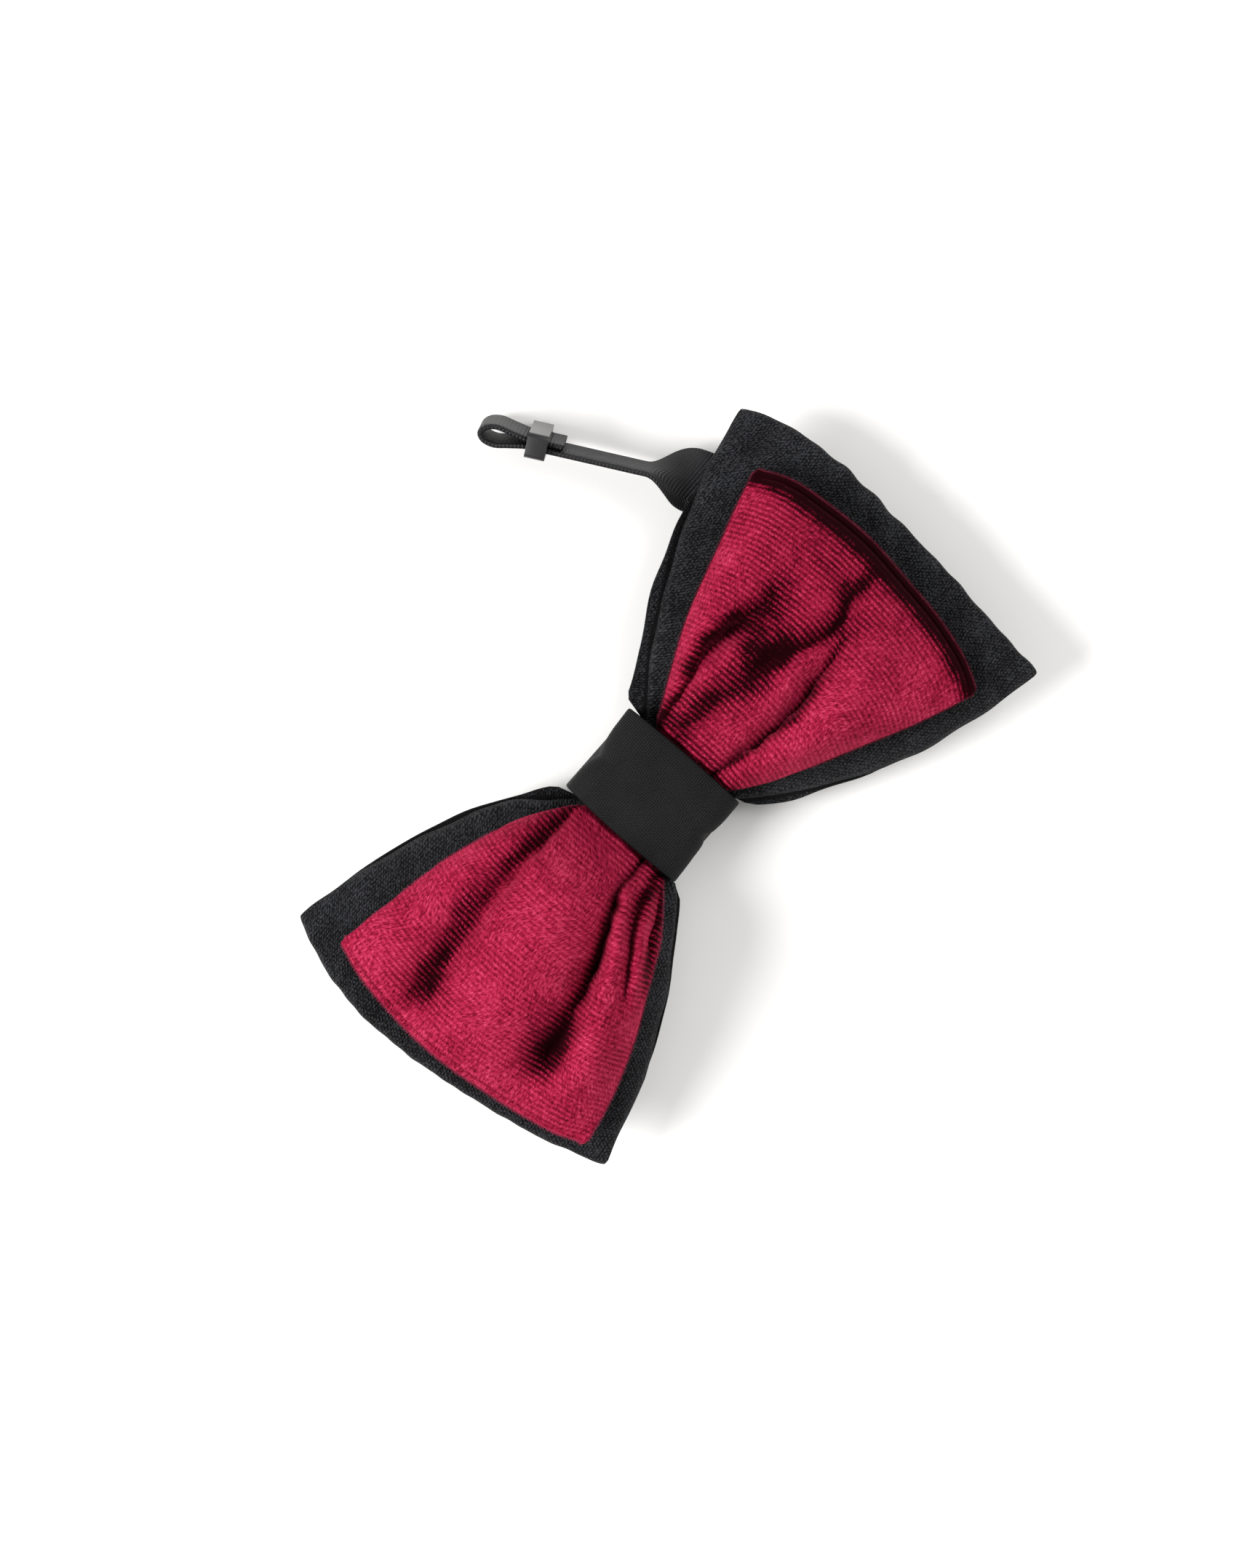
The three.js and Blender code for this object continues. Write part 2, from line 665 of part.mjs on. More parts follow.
for (const [back, closed] of TURN_IN_PATH) {
  const centre = new THREE.Vector3(hookX - back, hookRun.origin.y, 0);
  centre.z = mix(turnIn.origin.z, turnInLevel, closed);
  leftStations.push(station(centre, turnIn.across, turnIn.normal));
}

function stripGeometry(stations, thickness) {
  const grid = stations.map(({ left, right }) => [
    left, left.clone().add(right).multiplyScalar(0.5), right,
  ]);
  const normals = stations.map(({ normal }) => [normal, normal, normal]);
  return sheetGeometry(grid, thickness, normals);
}

function neckStrapGeometry() {
  return stripGeometry([...leftStations.toReversed(), ...rightStations], STRAP_CLOTH);
}

function strapTailGeometry() {
  const from = LOOP_LENGTH + CLEARANCE;
  const to = SLIDE_FROM_END + SLIDE_LENGTH / 2 + TAIL_BEYOND;
  const ends = [to, from].map((back) => station(endPoint(back, strapPitch), endAcross, endNormal));
  return stripGeometry(ends, STRAP_CLOTH);
}

function hookThreadGeometry() {
  const level = hookEnd.origin.z + STRAP_CLOTH / 2 + CLEARANCE + THREAD / 2;
  const reach = HALF_STRAP - STITCH;
  return threadGeometry(zigzag(HOOK_STITCHES, (t, odd) => new THREE.Vector3(
    hookX - STITCH * (1 + odd), hookRun.origin.y + mix(-reach, reach, t), level,
  )));
}

// ---- Slide ----
function ringShape(halfWidth, halfHeight, wallX, wallY) {
  const shape = roundedOutline(-halfWidth, halfWidth, -halfHeight, halfHeight, wallY);
  shape.holes.push(roundedOutline(
    -halfWidth + wallX, halfWidth - wallX, -halfHeight + wallY, halfHeight - wallY, SLIDE_CORNER,
  ));
  return shape;
}

function slideGeometry() {
  const shape = ringShape(slideAcross / 2, slideThick / 2, SLIDE_RAIL, SLIDE_WALL);
  const geometry = new THREE.ExtrudeGeometry(shape, {
    depth: SLIDE_LENGTH, bevelEnabled: false, curveSegments: 4,
  });
  geometry.translate(0, 0, -SLIDE_LENGTH / 2);
  return geometry;
}

// ---- Hook: a flat frame round the strap's fold, and a tongue that turns back over itself ----
const wasm = await Module();
wasm.setup();

function solidOf(geometry) {
  const bare = new THREE.BufferGeometry();
  bare.setAttribute('position', geometry.getAttribute('position'));
  if (geometry.index) {
    bare.setIndex(geometry.index);
  }
  const merged = mergeVertices(bare, 1e-4);
  return new wasm.Manifold(new wasm.Mesh({
    numProp: 3,
    vertProperties: merged.getAttribute('position').array,
    triVerts: Uint32Array.from(merged.index.array),
  }));
}

function geometryOf(solid) {
  const mesh = solid.getMesh();
  const geometry = new THREE.BufferGeometry();
  geometry.setAttribute('position', new THREE.Float32BufferAttribute(mesh.vertProperties, 3));
  geometry.setIndex(new THREE.Uint32BufferAttribute(mesh.triVerts, 1));
  geometry.computeVertexNormals();
  return geometry;
}

const hookFrameHalf = HALF_STRAP + SLIDE_SIDE_CLEARANCE + HOOK_RAIL;
const hookFrameFront = HOOK_BAR / 2 + HOOK_SLOT + HOOK_RAIL;

function hookGeometry() {
  const frame = roundedOutline(-HOOK_BAR / 2, hookFrameFront, -hookFrameHalf, hookFrameHalf, HOOK_CORNER);
  frame.holes.push(roundedOutline(
    HOOK_BAR / 2, hookFrameFront - HOOK_RAIL,
    -hookFrameHalf + HOOK_RAIL, hookFrameHalf - HOOK_RAIL, HOOK_CORNER / 2,
  ));
  const plate = new THREE.ExtrudeGeometry(frame, {
    depth: HOOK_PLATE, bevelEnabled: false, curveSegments: 4,
  });
  plate.translate(0, 0, -HOOK_PLATE / 2);

  const tip = hookFrameFront + HOOK_REACH;
  const inner = HOOK_MOUTH / 2;
  const outer = inner + HOOK_PLATE;
  const middle = HOOK_PLATE / 2 + inner;
  const tongue = new THREE.Shape();
  tongue.moveTo(hookFrameFront - HOOK_RAIL / 2, -HOOK_PLATE / 2);
  tongue.lineTo(tip - outer, -HOOK_PLATE / 2);
  tongue.absarc(tip - outer, middle, outer, -Math.PI / 2, Math.PI / 2, false);
  tongue.lineTo(tip - outer - HOOK_RETURN, middle + outer);
  tongue.lineTo(tip - outer - HOOK_RETURN, middle + inner);
  tongue.lineTo(tip - outer, middle + inner);
  tongue.absarc(tip - outer, middle, inner, Math.PI / 2, -Math.PI / 2, true);
  tongue.lineTo(hookFrameFront - HOOK_RAIL / 2, HOOK_PLATE / 2);
  const bent = new THREE.ExtrudeGeometry(tongue, {
    depth: HOOK_TONGUE, bevelEnabled: false, curveSegments: 6,
  });
  bent.translate(0, 0, -HOOK_TONGUE / 2);
  bent.rotateX(Math.PI / 2);
  return geometryOf(solidOf(plate).add(solidOf(bent)));
}

// ---- Assembly ----
const crepe = finish(0x26272b, 0.85);
const velvet = finish(0x9c1f3c, 0.8);
const twill = finish(0x262628, 0.8);
const tape = finish(0x2b2b2e, 0.7);
const stiffener = finish(0x2c2c2e, 0.9);
const sewing = finish(0x1a1a1c, 0.7);
const lacquered = finish(0x18181a, 0.4, 0.6);

const bowTie = new THREE.Group();

function addPart(name, geometry, material, parent = bowTie) {
  const mesh = new THREE.Mesh(geometry, material);
  mesh.name = name;
  parent.add(mesh);
  return mesh;
}

addPart('lower_bow', bowStripGeometry(lowerBow), crepe);
addPart('lower_bow_interlining', interliningGeometry(lowerBow), stiffener);
addPart(
  'lower_bow_binding_thread',
  bindingGeometry(lowerBindingBottom, lowerBindingTop, lowerWaist, lowerWaist),
  sewing,
);
addPart('upper_bow', bowStripGeometry(upperBow), velvet);
addPart('upper_bow_interlining', interliningGeometry(upperBow), stiffener);
addPart(
  'upper_bow_binding_thread',
  bindingGeometry(upperBindingBottom, upperBindingTop, upperWaistBottom, upperWaistTop),
  sewing,
);
addPart('knot_wrap', knotWrapGeometry(), twill);
addPart('knot_wrap_interlining', wrapInterliningGeometry(), stiffener);
addPart('knot_seam_thread', seamThreadGeometry(), sewing);
addPart('neck_strap', neckStrapGeometry(), tape);
addPart('hook_end_thread', hookThreadGeometry(), sewing);

const slide = addPart('strap_slide', slideGeometry(), lacquered);
slide.applyMatrix4(
  new THREE.Matrix4().makeBasis(endAcross, endNormal, endAlong)
    .setPosition(endPoint(SLIDE_FROM_END, strapPitch / 2)),
);
addPart('strap_tail', strapTailGeometry(), tape);

const hook = addPart('strap_hook', hookGeometry(), lacquered);
hook.position.set(hookX, hookRun.origin.y, hookLevel);

export default bowTie;
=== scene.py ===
import math

import bmesh
import bpy
import numpy as np
from mathutils import Matrix, Vector


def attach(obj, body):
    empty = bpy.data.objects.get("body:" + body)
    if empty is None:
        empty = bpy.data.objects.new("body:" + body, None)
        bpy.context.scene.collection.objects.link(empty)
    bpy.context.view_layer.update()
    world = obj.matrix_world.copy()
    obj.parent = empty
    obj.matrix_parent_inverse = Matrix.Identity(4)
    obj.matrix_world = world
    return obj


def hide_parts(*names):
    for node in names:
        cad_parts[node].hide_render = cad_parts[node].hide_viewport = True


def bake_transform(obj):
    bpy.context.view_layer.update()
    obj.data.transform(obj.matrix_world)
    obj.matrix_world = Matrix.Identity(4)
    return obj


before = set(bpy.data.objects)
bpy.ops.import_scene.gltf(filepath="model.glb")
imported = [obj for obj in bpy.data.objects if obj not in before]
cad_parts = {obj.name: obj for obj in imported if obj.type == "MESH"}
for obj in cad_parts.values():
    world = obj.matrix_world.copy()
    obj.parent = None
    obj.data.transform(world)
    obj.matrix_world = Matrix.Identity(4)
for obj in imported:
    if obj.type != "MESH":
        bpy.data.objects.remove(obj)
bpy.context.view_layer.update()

MM = 0.001

# ---- Camera ----------------------------------------------------------------------------
VIEW_HEIGHT_MM = 257.3
VIEW_LEVEL_MM = 12.0
VIEW_DISTANCE_MM = 900.0
VIEW_CENTRE_MM = (-1.35, 4.1)
BOW_RISE = math.radians(48.7)        # how far the bow's long axis is turned up to the right
SENSOR_MM = 36.0


def add_camera():
    data = bpy.data.cameras.new("camera")
    data.sensor_fit = "VERTICAL"
    data.sensor_height = SENSOR_MM
    data.lens = SENSOR_MM * VIEW_DISTANCE_MM / VIEW_HEIGHT_MM
    data.clip_start, data.clip_end = 0.01, 10
    camera = bpy.data.objects.new("camera", data)
    bpy.context.scene.collection.objects.link(camera)
    right = Vector((math.cos(BOW_RISE), -math.sin(BOW_RISE), 0))
    up = Vector((math.sin(BOW_RISE), math.cos(BOW_RISE), 0))
    turn = Matrix((right, up, Vector((0, 0, 1)))).transposed().to_4x4()
    x, y = VIEW_CENTRE_MM
    place = Vector((x, y, VIEW_LEVEL_MM + VIEW_DISTANCE_MM)) * MM
    camera.matrix_world = Matrix.Translation(place) @ turn
    bpy.context.scene.camera = camera


add_camera()

# ---- Sizes, mm, as in the CAD source ---------------------------------------------------
CLEARANCE = 0.3
WRAP_CLOTH = 0.8
WRAP_INTERLINING = 0.4
LOWER_CLOTH = 0.7
UPPER_CLOTH = 0.9
INTERLINING = 0.4
THREAD = 0.4
KNOT_WIDTH = 17.0
KNOT_HEIGHT = 23.4
KNOT_CORNER = 3.5
LAP_EDGE = 3.0
KNOT_PLEAT = 0.4
STRAP_WIDTH = 10.0
STRAP_CLOTH = 0.9
STRAP_LAYER_GAP = 0.7
STACKED_FOLDS = 4
LOWER_TOP, LOWER_BOTTOM = 31.0, 34.5

LAP_TOP = 2 * WRAP_CLOTH
STRAP_LEVEL = LAP_TOP + CLEARANCE + STRAP_CLOTH / 2
LOWER_BINDING = STRAP_LEVEL + STRAP_CLOTH / 2 + CLEARANCE
LOWER_BACK = LOWER_BINDING + THREAD + CLEARANCE + KNOT_PLEAT + LOWER_CLOTH / 2
LOWER_LOOP = LOWER_CLOTH + 2 * CLEARANCE + INTERLINING
LOWER_BINDING_TOP = LOWER_BACK + LOWER_LOOP + LOWER_CLOTH / 2 + KNOT_PLEAT + CLEARANCE + THREAD
UPPER_BACK = LOWER_BINDING_TOP + THREAD + 2 * CLEARANCE + KNOT_PLEAT + UPPER_CLOTH / 2
UPPER_LOOP = UPPER_CLOTH + 2 * CLEARANCE + INTERLINING
UPPER_BINDING_TOP = UPPER_BACK + UPPER_LOOP + UPPER_CLOTH / 2 + KNOT_PLEAT + CLEARANCE + THREAD
KNOT_DEPTH = UPPER_BINDING_TOP + 2 * CLEARANCE + WRAP_INTERLINING + WRAP_CLOTH
STRAP_FOLD = (STRAP_CLOTH + STRAP_LAYER_GAP) / 2
STRAP_STACK_TOP = STRAP_LEVEL + STACKED_FOLDS * 2 * STRAP_FOLD + STRAP_CLOTH / 2
LOWER_PLEAT = 0.8
WING_LIFT = STRAP_STACK_TOP + CLEARANCE + LOWER_CLOTH / 2 + LOWER_PLEAT - LOWER_BACK
LOWER_WAIST = KNOT_HEIGHT / 2 - WRAP_CLOTH - 2 * CLEARANCE - THREAD
KNOT_HALF = KNOT_WIDTH / 2
FLARE_END = 0.32                     # share of the wing's length over which it lifts
LOWER_PUFF = 1.8
LOWER_PUFF_SHARE = 0.7               # of it, which the crepe keeps under the velvet
UPPER_PUFF = 6.0
UPPER_FALL = 0.14                    # share of the puff lost slowly, the rest at the edges
UPPER_UNEVEN = 0.2
FULL_FOLD_PUFF = 3.2                 # where the puff is less, folds are shallower
FOLD_DEPTH = 1.5
FRONT_SQUARENESS = 0.55


# ---- Small shape helpers ---------------------------------------------------------------
def smooth(t):
    t = np.clip(t, 0, 1)
    return t * t * (3 - 2 * t)


def mix(a, b, t):
    return a + (b - a) * t


def bell(distance, width):
    return np.exp(-((distance / width) ** 2))


def through(points, x):
    """A smooth line through given (x, value) points, level past both ends."""
    xs, ys = np.array(points, float).T
    slopes = np.gradient(ys, xs)
    x = np.clip(x, xs[0], xs[-1])
    k = np.clip(np.searchsorted(xs, x) - 1, 0, len(xs) - 2)
    width = xs[k + 1] - xs[k]
    t = (x - xs[k]) / width
    start, end = ys[k], ys[k + 1]
    bend = (2 * t**3 - 3 * t**2 + 1) * start + (3 * t**2 - 2 * t**3) * end
    leaving, arriving = (t**3 - 2 * t**2 + t) * slopes[k], (t**3 - t**2) * slopes[k + 1]
    return bend + width * (leaving + arriving)


def ripple(x, y, seed, size):
    """Smooth wandering waves, the same each run: a few crossed sines of about one size."""
    draw = np.random.default_rng(seed)
    total = 0
    for _ in range(7):
        angle = draw.uniform(0, math.pi)
        length = size * draw.uniform(0.7, 1.6)
        phase = draw.uniform(0, 2 * math.pi)
        along = x * math.cos(angle) + y * math.sin(angle)
        total = total + np.sin(2 * math.pi * along / length + phase)
    return total / 4


# ---- Wings -----------------------------------------------------------------------------
# u runs from the knot's side (0) to the wing's outer edge (1), v from its bottom edge (-1)
# to its top edge (1). Each wing has its own outline, as (distance out, height) places.
NOT_DRAWN_IN = ((8, 0), (9, 0))


class Wing:
    def __init__(
            self, side, outer, top, bottom, front_top=NOT_DRAWN_IN, front_bottom=NOT_DRAWN_IN):
        self.side, self.outer, self.top, self.bottom = side, outer, top, bottom
        self.front_top, self.front_bottom = front_top, front_bottom


class Bow:
    def __init__(self, **values):
        self.__dict__.update(values)


LOWER = Bow(
    cloth=LOWER_CLOTH, loop=LOWER_LOOP, waist_top=LOWER_WAIST, waist_bottom=LOWER_WAIST,
    wings=(
        Wing(-1,
             outer=((-34.5, 51), (-26, 53.7), (-16.8, 55.8), (-7.7, 57.4), (0.7, 58.5),
                    (9, 58.7), (17.3, 57.8), (24, 55.8), (30.3, 53.3)),
             top=((8.5, 12.2), (11, 14.2), (14.3, 16.2), (18.4, 19.0), (24.7, 22.3),
                  (30.5, 24.6), (37, 26.7), (45.3, 28.7), (53.3, 30.3)),
             bottom=((8.5, 13.4), (9.7, 14.7), (14.3, 18.1), (19.3, 21.5), (24.7, 24.8),
                     (30.5, 27.7), (37, 30.2), (45.3, 32.8), (51, 34.5)),
             front_top=((8.5, 4.3), (10.5, 4.0), (12.6, 3.3), (15.5, 1.5), (19.3, 1.3),
                        (25, 1.6), (31, 1.0), (36, 0.8), (44, 0)),
             front_bottom=((8.5, 1.6), (14, 1.2), (18, 1.2), (22, 0.9), (29, 1.0), (36, 0))),
        Wing(1,
             outer=((-34.5, 56.9), (-24.3, 58), (-9.3, 59.8), (0.7, 60.6), (14, 61.3),
                    (24.8, 59.7), (30.8, 57.2)),
             top=((8.5, 13.5), (10.2, 14.1), (16.4, 17.1), (22.7, 20.9), (28, 23.3), (36, 26.2),
                  (46.3, 28.7), (57.2, 30.8)),
             bottom=((8.5, 12.2), (10.2, 14.2), (13.5, 17.3), (18.5, 20.3), (23.9, 23.4),
                     (29.3, 26.1), (36, 29), (46.3, 32.3), (56.9, 34.5)),
             front_top=((8.5, 5.6), (11, 4.6), (13.1, 3.9), (17.7, 2.9), (22.7, 3.2),
                        (27.7, 2.8), (31.8, 2.1), (36, 1.6), (44, 0.3), (50, 0)),
             front_bottom=((8.5, 2.4), (14.3, 2.6), (19.3, 1.5), (24.3, 1.2), (29.3, 0.4),
                           (34, 0))),
    ),
)
UPPER = Bow(
    cloth=UPPER_CLOTH, loop=UPPER_LOOP, waist_top=6.9, waist_bottom=8.6,
    wings=(
        Wing(-1,
             outer=((-28.9, 50.3), (-25.2, 51.8), (-19.3, 53.2), (-10, 54.6), (-3.5, 55.3),
                    (2.3, 55.4), (9, 54.9), (17.3, 53.4), (22.2, 51.7)),
             top=((8.5, 7.1), (12.8, 10.7), (16.6, 13.2), (24.5, 16.3), (30.3, 18.2), (37, 19.6),
                  (45.3, 21.2), (51.6, 22.3)),
             bottom=((8.5, 9.9), (12.8, 13.5), (17, 16.7), (21.2, 18.9), (26.2, 21.4),
                     (30.3, 23.5), (37, 26.2), (42.8, 28.0), (49.5, 29.4))),
        Wing(1,
             outer=((-28.8, 47.8), (-24.3, 50.1), (-17.7, 52.2), (-7.7, 53.8), (0.7, 54.8),
                    (9, 54.6), (17.3, 53.4), (22.2, 51.3)),
             top=((8.5, 6.5), (13, 8.8), (18, 11.3), (25.5, 14.7), (32.2, 16.9), (38, 18.6),
                  (44.7, 20.7), (51.3, 22.4)),
             bottom=((8.5, 8.8), (13, 12.3), (18, 15.2), (23.8, 18.1), (29.7, 21), (36.3, 24.3),
                     (42.2, 26.8), (47.2, 28.8))),
    ),
)
PINCH = 0.022                        # share of the wing's length squeezed by the knot
HEIGHT_READ_AT = 50                  # how far out a wing's height is read for its outer edge
ROLLED_EDGE, ROLL_WIDTH = 1.1, 1.1
ROLL_FADES_FROM, ROLL_FADES_OVER = 24, 20


def wing_place(bow, wing, u, v, layer="back"):
    high, low = (through(edge, HEIGHT_READ_AT + 0 * v) for edge in (wing.top, wing.bottom))
    outer = through(wing.outer, (high - low) / 2 + v * (high + low) / 2)
    outer = outer - bow.loop / 2 - bow.cloth / 2
    x = np.where(u < 0, KNOT_HALF * (1 + u), mix(KNOT_HALF, outer, u))
    top, bottom = through(wing.top, x), through(wing.bottom, x)
    if layer == "front":
        top = top - through(wing.front_top, x)
        bottom = bottom - through(wing.front_bottom, x)
    opened = smooth(u / PINCH)
    top = mix(np.minimum(bow.waist_top, top), top, opened) - bow.cloth / 2
    bottom = mix(np.minimum(bow.waist_bottom, bottom), bottom, opened) - bow.cloth / 2
    return x, mix(-bottom, top, (v + 1) / 2)


def flare(u):
    return WING_LIFT * smooth(u / FLARE_END)


def puff(u):
    return np.sin(math.pi * np.clip(u, 0, 1)) ** 0.8


def lower_pleat(u, v):
    size = mix(KNOT_PLEAT, LOWER_PLEAT, smooth(u * 3)) * mix(1, 0.5, smooth(u * 2 - 1))
    return size * np.cos(3 * math.pi * v + 0.6)


def lower_back(wing, u, v):
    return LOWER_BACK + flare(u) + lower_pleat(u, v)


def upper_back(wing, u, v):
    pleat = KNOT_PLEAT * np.cos(2 * math.pi * v + 0.4)
    return UPPER_BACK + flare(u) + LOWER_PUFF * puff(u) + pleat


# Each fold or streak of painted shade is a line of (x, y) places, an amount along the way, and
# how wide it is on its upper and lower side. For folds the amount is the depth, so a ridge's
# amount is negative.
def streak(line, amount, above, below):
    return {"line": line, "amount": amount, "above": above, "below": below}


LEFT_FOLDS = (
    streak(((9, 0.5), (20, -0.4), (32, -2.0), (46, -4.0)),
           ((9, -0.5), (18, -1.3), (30, -1.7), (42, -1.3), (50, -0.3), (54, 0)),
           ((9, 4.0), (24, 5.5), (44, 7.5)), ((9, 4.5), (24, 6.5), (44, 8.0))),
    streak(((20, -18.0), (32, -19.6), (46, -22.6)),
           ((14, 0), (24, -0.7), (36, -1.1), (46, -0.6), (52, 0)),
           ((20, 3.0), (44, 4.5)), ((20, 2.0), (44, 4.0))),
    streak(((9, 7.0), (14, 7.6), (22, 7.8), (30, 7.4), (40, 7.0), (49, 6.2)),
           ((9, 0.6), (14, 1.6), (25, 2.1), (33, 2.0), (41, 2.4), (47, 2.2), (51, 0.8), (54, 0)),
           ((9, 1.4), (20, 2.6), (35, 4.0), (48, 4.4)),
           ((9, 0.5), (25, 0.9), (40, 1.8), (49, 2.6))),
    streak(((9, -6.4), (13, -6.4), (17, -7.2), (21, -9.4), (25, -11.2), (33, -13.6),
            (43, -15.6)),
           ((9, 1.6), (14, 2.2), (19, 3.0), (25, 3.8), (29, 3.0), (35, 2.4), (42, 3.2),
            (47, 1.2), (52, 0)),
           ((9, 1.0), (22, 1.8), (32, 2.8), (43, 3.6)),
           ((9, 0.35), (22, 0.6), (28, 1.0), (36, 2.0), (43, 2.6))),
    streak(((9, -7.6), (13, -7.4), (17, -8.4), (21, -10.9), (25, -13.4), (31, -16.0),
            (40, -20.0)),
           ((9, -0.5), (13, -1.4), (18, -1.6), (24, -1.5), (30, -1.2), (38, -0.8), (46, 0)),
           ((9, 0.7), (20, 0.9), (30, 2.0), (40, 3.0)),
           ((9, 0.9), (20, 1.0), (30, 2.6), (40, 4.0))),
    streak(((9, -9.2), (14, -10.0), (18.4, -12.2), (22.6, -15.0), (28, -18.6)),
           ((9, 0.6), (14, 1.3), (19, 1.7), (23, 1.3), (28, 0.5), (32, 0)),
           ((9, 0.6), (20, 0.9), (28, 1.2)), ((9, 0.5), (20, 0.7), (28, 1.2))),
    streak(((11, -9.4), (17.2, -13.0), (20.9, -15.6), (24.7, -18.3), (28.8, -20.8)),
           ((10, 0), (14, -0.9), (19, -1.2), (25, -0.7), (30, 0)),
           ((11, 0.5), (28, 0.8)), ((11, 0.5), (28, 0.8))),
    streak(((11, -11.4), (15, -13.4), (20, -16.6), (25, -19.8)),
           ((10, 0.3), (15, 1.1), (20, 1.0), (25, 0.4), (29, 0)),
           ((11, 0.6), (25, 0.8)), ((11, 0.8), (25, 1.0))),
)
RIGHT_FOLDS = (
    streak(((9, 0.8), (22, 4.0), (34, 1.0), (46, 1.0)),
           ((9, -0.5), (18, -1.0), (28, -0.8), (40, -0.5), (50, 0)),
           ((9, 4.0), (24, 4.0), (44, 7.0)), ((9, 4.0), (24, 5.0), (44, 7.0))),
    streak(((9, 6.2), (14, 7.0), (20, 8.0), (26, 8.4), (31, 7.6), (36, 6.0)),
           ((9, 0.6), (14, 1.4), (22, 2.0), (29, 3.0), (34, 2.0), (40, 0.6), (46, 0)),
           ((9, 0.5), (20, 0.7), (28, 1.6), (36, 2.6)),
           ((9, 1.2), (22, 1.8), (32, 3.0), (40, 3.4))),
    streak(((12, 2.6), (18, 2.0), (24, 0.6), (30, -0.6), (35, -3.6), (41, -4.4)),
           ((10, 0), (17, 1.0), (23, 0.8), (29, 1.8), (34, 1.5), (40, 1.0), (46, 0)),
           ((12, 1.6), (30, 2.4)), ((12, 1.4), (30, 1.8))),
    streak(((9, -5.6), (13, -6.6), (18, -7.9), (25, -8.8), (33, -8.0), (41, -6.4), (48, -4.6)),
           ((9, 1.2), (14, 2.0), (22, 2.8), (30, 2.6), (38, 1.8), (45, 1.0), (51, 0)),
           ((9, 0.9), (22, 2.2), (40, 2.8)), ((9, 0.35), (22, 0.7), (33, 1.0), (42, 1.8))),
    streak(((9, -7.4), (18, -11.0), (26, -13.4), (34, -14.0), (44, -13.0)),
           ((9, -0.4), (18, -1.2), (26, -1.5), (36, -1.2), (46, 0)),
           ((9, 1.0), (26, 2.6), (40, 4.0)), ((9, 1.0), (26, 3.6), (40, 5.0))),
)

# Painted shade: dark streaks laid along the velvet's fold valleys, where shade falls.
LEFT_SHADE_STREAKS = (
    streak(((9, 7.8), (15, 8.8), (25, 9.4), (35, 9.0), (43, 8.0), (50, 6.6)),
           ((9, 0.4), (16, 0.55), (26, 0.42), (36, 0.42), (43, 0.62), (47, 0.7), (50, 0.4),
            (53, 0)),
           ((9, 1.0), (20, 2.4), (40, 3.2)), ((9, 0.6), (25, 1.0), (38, 2.0), (46, 3.0))),
    streak(((9, -6.2), (14, -6.2), (20, -8.6), (26, -11.2), (33, -13.2), (42, -15.0),
            (47, -15.6)),
           ((9, 0.8), (14, 0.5), (19, 0.8), (24, 1.5), (28, 0.9), (35, 0.6), (41, 0.95),
            (45, 0.6), (49, 0)),
           ((9, 0.8), (22, 1.4), (32, 2.0), (42, 3.4)),
           ((9, 0.4), (22, 0.6), (32, 1.4), (42, 2.8))),
    streak(((9, -9.4), (14, -10.4), (18.4, -12.3), (22.6, -15.0), (27, -18.2)),
           ((9, 0.5), (14, 0.6), (20, 0.7), (24, 0.5), (29, 0)),
           ((9, 1.6), (18, 1.6), (27, 1.2)), ((9, 1.6), (18, 0.8), (27, 0.9))),
    streak(((11, -12.2), (16, -14.6), (21, -17.6), (27, -20.6)),
           ((9, 0.6), (16, 0.65), (22, 0.5), (28, 0.1), (30, 0)),
           ((11, 1.0), (27, 0.9)), ((11, 1.6), (27, 1.2))),
)
RIGHT_SHADE_STREAKS = (
    streak(((9, 6.4), (14, 7.4), (20, 8.8), (26, 9.4), (30, 8.4), (35, 6.6)),
           ((9, 0.4), (14, 0.6), (22, 0.65), (28, 0.9), (32, 0.7), (37, 0.4), (42, 0)),
           ((9, 0.6), (20, 1.0), (29, 2.0), (36, 2.6)),
           ((9, 0.9), (22, 1.3), (29, 2.2), (36, 3.2))),
    streak(((12, 3.6), (18, 3.0), (23, 1.8), (28, 2.4), (33, 1.2)),
           ((8, 0.1), (14, 0.35), (18, 0.6), (23, 0.5), (28, 0.75), (31, 0.75), (35, 0.25),
            (38, 0)),
           ((13, 2.4), (30, 3.2)), ((13, 2.4), (30, 3.8))),
    streak(((20, -0.6), (26, -1.4), (31, -1.6), (36, -3.0), (41, -4.4), (45, -2.4), (49, -3.6)),
           ((18, 0), (24, 0.3), (30, 0.45), (36, 0.45), (41, 0.6), (46, 0.5), (50, 0.3),
            (53, 0)),
           ((20, 1.6), (36, 1.8), (46, 1.4)), ((20, 1.8), (36, 1.0), (46, 0.9))),
    streak(((9, -5.4), (14, -6.8), (20, -8.2), (26, -8.8), (33, -7.9), (40, -6.6)),
           ((9, 0.5), (14, 0.7), (22, 0.8), (28, 0.7), (35, 0.45), (41, 0.2), (45, 0)),
           ((9, 0.6), (22, 1.2), (38, 1.2)), ((9, 0.4), (22, 1.0), (38, 1.4))),
)


def laid(streaks, x, y):
    total = 0
    for each in streaks:
        away = y - through(each["line"], x)
        width = np.where(away > 0, through(each["above"], x), through(each["below"], x))
        total = total + through(each["amount"], x) * bell(away, width)
    return total


STRAY_ALONG, STRAY_ACROSS = 0.7, 0.35


def wander(x, y, seed):
    """The same place a little off, so lines drawn through it aren't ruled."""
    along, across = ripple(x, y, seed, 6), ripple(x, y, seed + 1, 5)
    return x + STRAY_ALONG * along, y + STRAY_ACROSS * across


